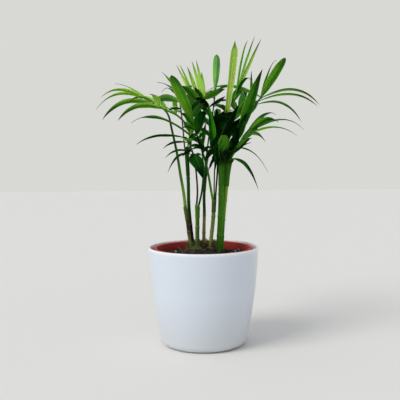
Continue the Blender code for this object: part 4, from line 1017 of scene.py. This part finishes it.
def makeSpear(finishes):
    foot = seen(*canes[spear["cane"]]["line"][-1]) + Vector((*spear["seat"], frondDetail["seatGap"]))
    coarse = [foot, *(seen(*p) for p in spear["line"])]
    lengths = [(b - a).length for a, b in zip(coarse, coarse[1:])]
    stops = [(sum(lengths[:i]) / sum(lengths), r) for i, r in enumerate(spear["radii"])]
    line = smoothLine(coarse, spear["steps"])
    rings, marks = [], []
    for k, (point, _, side, other) in enumerate(stations(line)):
        t = k / (len(line) - 1)
        radius, tone = eased(stops, t), eased(spear["tones"], t)
        radii, ringMarks = [], []
        for i in range(spear["sides"]):
            turn = (i / spear["sides"] - spear["roll"] * t) % 1.0
            creased = sum(depth * bump(turn, place, width) for depth, place, width in spear["creases"])
            radii.append(radius * (1.06 - spear["wound"] * turn - creased))
            stripe = math.cos(2 * math.pi * spear["stripes"] * turn)
            shade = tone + spear["windTone"] * (0.5 - turn) + spear["stripeTone"] * stripe
            ringMarks.append((2 * turn - 1, t, shade, spear["dryness"] * t * max(0.0, -stripe), 0))
        rings.append(circle(point, side, other, radii))
        marks.append(ringMarks)
    rings.append([line[-1] + (line[-1] - line[-2]).normalized() * spear["tipLength"]])
    marks.append([(0, 1, spear["tones"][-1][1], 0, 0)])
    shape = newShape()
    addRings(shape, rings, marks)
    makePiece("spearLeaf", shape, [finishes["light_leaf"]], "light_leaf", ["spear_leaf"])


# Litter: root fibres and scraps of old sheaths on the mound between the canes
litter = {
    "oldCanes": 5, "fibres": 90, "fibreLength": (5, 16), "fibreRadius": (0.18, 0.34), "fibreLift": (0.2, 5.0),
    "fibreSpread": 4.5, "fibreCurl": 0.9, "fibreTone": (0.2, 0.8),
    "tufts": 520, "tuftMiddle": (-1.0, 12.0), "tuftSpread": (8.5, 3.5), "tuftHeight": (5.0, 13.5),
    "tuftLean": (0.2, 1.4), "tuftTone": (0.1, 0.7),
    "scraps": 3, "scrapHeight": (5, 11), "scrapWidth": (0.5, 1.1), "scrapTone": (0.15, 0.75), "scrapHalf": 0.14,
    "scrapRoot": 1.5, "scrapGap": 0.35, "scrapFlare": 0.7, "scrapTaper": 0.55, "scrapRagged": 1.2,
    "colour": [(0.0, (0.018, 0.016, 0.006)), (0.4, (0.12, 0.11, 0.03)), (0.7, (0.26, 0.22, 0.08)),
               (1.0, (0.45, 0.36, 0.19))]}


def litterFinish():
    finish, shader = newFinish("dryFibre")
    streaks = noiseOf(finish, 500.0, 4.0)
    tone = sumOf(finish, markOf(finish, "tone"), spread(finish, streaks, -0.25, 0.25))
    link(finish, rampOf(finish, tone, litter["colour"]), shader.inputs["Base Color"])
    link(finish, spread(finish, streaks, 0.7, 0.95), shader.inputs["Roughness"])
    link(finish, bumpOf(finish, streaks, 0.4, 0.0004), shader.inputs["Normal"])
    return finish


def addFibre(shape, line, radius, taper, sides, tone):
    last = len(line) - 1
    radii = [radius * (1 - taper * k / last) for k in range(len(line))]
    addTube(shape, line, radii, sides, [plainMark(tone)] * len(line))


def addScrap(shape, rng, cane, foot):
    line = caneLine(cane, 60)
    d = litter
    low = soilHeight(foot.x, foot.y) - d["scrapRoot"]
    high = low + rng.uniform(*d["scrapHeight"])
    heading, reach = rng.uniform(0, 2 * math.pi), rng.uniform(*d["scrapWidth"])
    tone = rng.uniform(*d["scrapTone"])
    rings = []
    for s in between(0, 1, 6):
        z = low + (high - low) * s
        centre = min(line, key=lambda p: abs(p.z - z)).copy()
        centre.z = z
        radius = cane["radii"][0] + d["scrapGap"] + d["scrapFlare"] * s * s
        top, under = [], []
        for turn in between(-1, 1, 5):
            angle = heading + reach * turn * (1 - d["scrapTaper"] * s)
            out = Vector((math.cos(angle), math.sin(angle), 0))
            ragged = up * d["scrapRagged"] * noise.noise(out * 3 + up * tone * 20) * s
            top.append(centre + out * (radius + d["scrapHalf"]) + ragged)
            under.append(centre + out * (radius - d["scrapHalf"]) + ragged)
        rings.append(top + under[::-1])
    addRings(shape, rings, [plainMark(tone)] * len(rings))


def makeLitter(finish):
    rng = random.Random(9)
    oldCanes = list(canes.values())[:litter["oldCanes"]]
    feet = [seen(*cane["line"][0]) for cane in oldCanes]
    shape = newShape()
    for _ in range(litter["fibres"]):
        foot, wide = rng.choice(feet), litter["fibreSpread"]
        x, y = foot.x + rng.gauss(0, wide), foot.y + rng.gauss(-1, wide)
        length, heading = rng.uniform(*litter["fibreLength"]), rng.uniform(0, 2 * math.pi)
        lift = rng.uniform(*litter["fibreLift"])
        line = []
        for s in between(0, 1, 6):
            angle = heading + litter["fibreCurl"] * s
            px, py = x + math.cos(angle) * length * (s - 0.5), y + math.sin(angle) * length * (s - 0.5)
            line.append(Vector((px, py, soilHeight(px, py) + 0.1 + lift * math.sin(math.pi * s) * s)))
        addFibre(shape, line, rng.uniform(*litter["fibreRadius"]), 0.5, 6, rng.uniform(*litter["fibreTone"]))
    for _ in range(litter["tufts"]):
        x, y = (rng.gauss(m, w) for m, w in zip(litter["tuftMiddle"], litter["tuftSpread"]))
        high, heading = rng.uniform(*litter["tuftHeight"]), rng.uniform(0, 2 * math.pi)
        lean = rng.uniform(*litter["tuftLean"])
        line = []
        for s in between(0, 1, 5):
            away = lean * high * s * s
            line.append(Vector((x + math.cos(heading) * away, y + math.sin(heading) * away,
                                soilHeight(x, y) - 0.5 + high * (s - 0.25 * lean * s * s))))
        addFibre(shape, line, rng.uniform(*litter["fibreRadius"]), 0.6, 5, rng.uniform(*litter["tuftTone"]))
    for cane, foot in zip(oldCanes, feet):
        for _ in range(litter["scraps"]):
            addScrap(shape, rng, cane, foot)
    makePiece("moundLitter", shape, [finish], "brown_cane")


# Studio: floor, daylight and the camera where the photograph was taken from
studio = {
    "floorSize": 3.0, "floorDrop": 0.0002, "floorColour": (0.865, 0.85, 0.81, 1.0),
    "backdropColour": (0.69, 0.69, 0.665), "windowSide": (0.62, 0.64, 0.68), "farSide": (0.49, 0.50, 0.525),
    "sunFrom": (-1.0, -0.75, 1.1), "sunStrength": 1.4, "sunSize": 30.0, "sunColour": (1.0, 0.985, 0.95),
    "cameraPlace": (0.0, -0.820, 0.232), "cameraTurn": 0.25, "cameraTilt": 4.26, "cameraRoll": -0.45,
    "lens": 62.73, "sensor": 36.0}


def makeFloor():
    size, z = studio["floorSize"], -studio["floorDrop"]
    mesh = bpy.data.meshes.new("floor")
    mesh.from_pydata([(-size, -size, z), (size, -size, z), (size, size, z), (-size, size, z)], [], [(0, 1, 2, 3)])
    finish, shader = newFinish("paleFloor")
    setOn(shader, {"Base Color": studio["floorColour"], "Roughness": 0.7, "Specular IOR Level": 0.1})
    mesh.materials.append(finish)
    floor = bpy.data.objects.new("floor", mesh)
    bpy.context.scene.collection.objects.link(floor)


def makeLight():
    world = bpy.data.worlds.new("daylight")
    world.use_nodes = True
    # a plain backdrop, and for the light on the plant a sky that is brighter on the window's side
    sideways = put(world, "SeparateXYZ", {"Vector": put(world, "TexCoord").outputs["Generated"]}).outputs["X"]
    windowShare = spread(world, sideways, 0.0, 1.0, 0.8, -0.8)
    daylight = mixOf(world, windowShare, studio["farSide"], studio["windowSide"])
    straight = put(world, "LightPath").outputs["Is Camera Ray"]
    sky = mixOf(world, straight, daylight, studio["backdropColour"])
    link(world, sky, world.node_tree.nodes["Background"].inputs["Color"])
    bpy.context.scene.world = world
    light = bpy.data.lights.new("softSun", "SUN")
    light.angle = math.radians(studio["sunSize"])
    light.energy = studio["sunStrength"]
    light.color = studio["sunColour"]
    sun = bpy.data.objects.new("softSun", light)
    sun.rotation_euler = (-Vector(studio["sunFrom"])).to_track_quat("-Z", "Y").to_euler()
    bpy.context.scene.collection.objects.link(sun)


def makeCamera():
    lens = bpy.data.cameras.new("camera")
    lens.lens = studio["lens"]
    lens.sensor_width = studio["sensor"]
    camera = bpy.data.objects.new("camera", lens)
    camera.rotation_mode = "QUATERNION"
    camera.rotation_quaternion = (Quaternion(up, math.radians(studio["cameraTurn"]))
                                  @ Quaternion(right, math.radians(90 - studio["cameraTilt"]))
                                  @ Quaternion(up, math.radians(studio["cameraRoll"])))
    camera.location = studio["cameraPlace"]
    bpy.context.scene.collection.objects.link(camera)
    bpy.context.scene.camera = camera


bpy.context.scene.view_settings.view_transform = "Standard"
finishes = {
    "green_cane": caneFinish("greenCane", 0.35), "brown_cane": caneFinish("brownCane", 0.5),
    "sheath": caneFinish("leafSheath", 0.4),
    **{name: leafFinish(pieceName(name), look) for name, look in leafLooks.items()}}
makeCoverPot()
makeNurseryPot()
print("pots done")
makeSoil()
makeLitter(litterFinish())
print("soil and litter done")
makeCanes(finishes)
makeSheaths(finishes)
print("canes and sheaths done")
makeSpear(finishes)
makeFronds(finishes)
print("fronds done")
makeFloor()
makeLight()
makeCamera()
print("studio done")
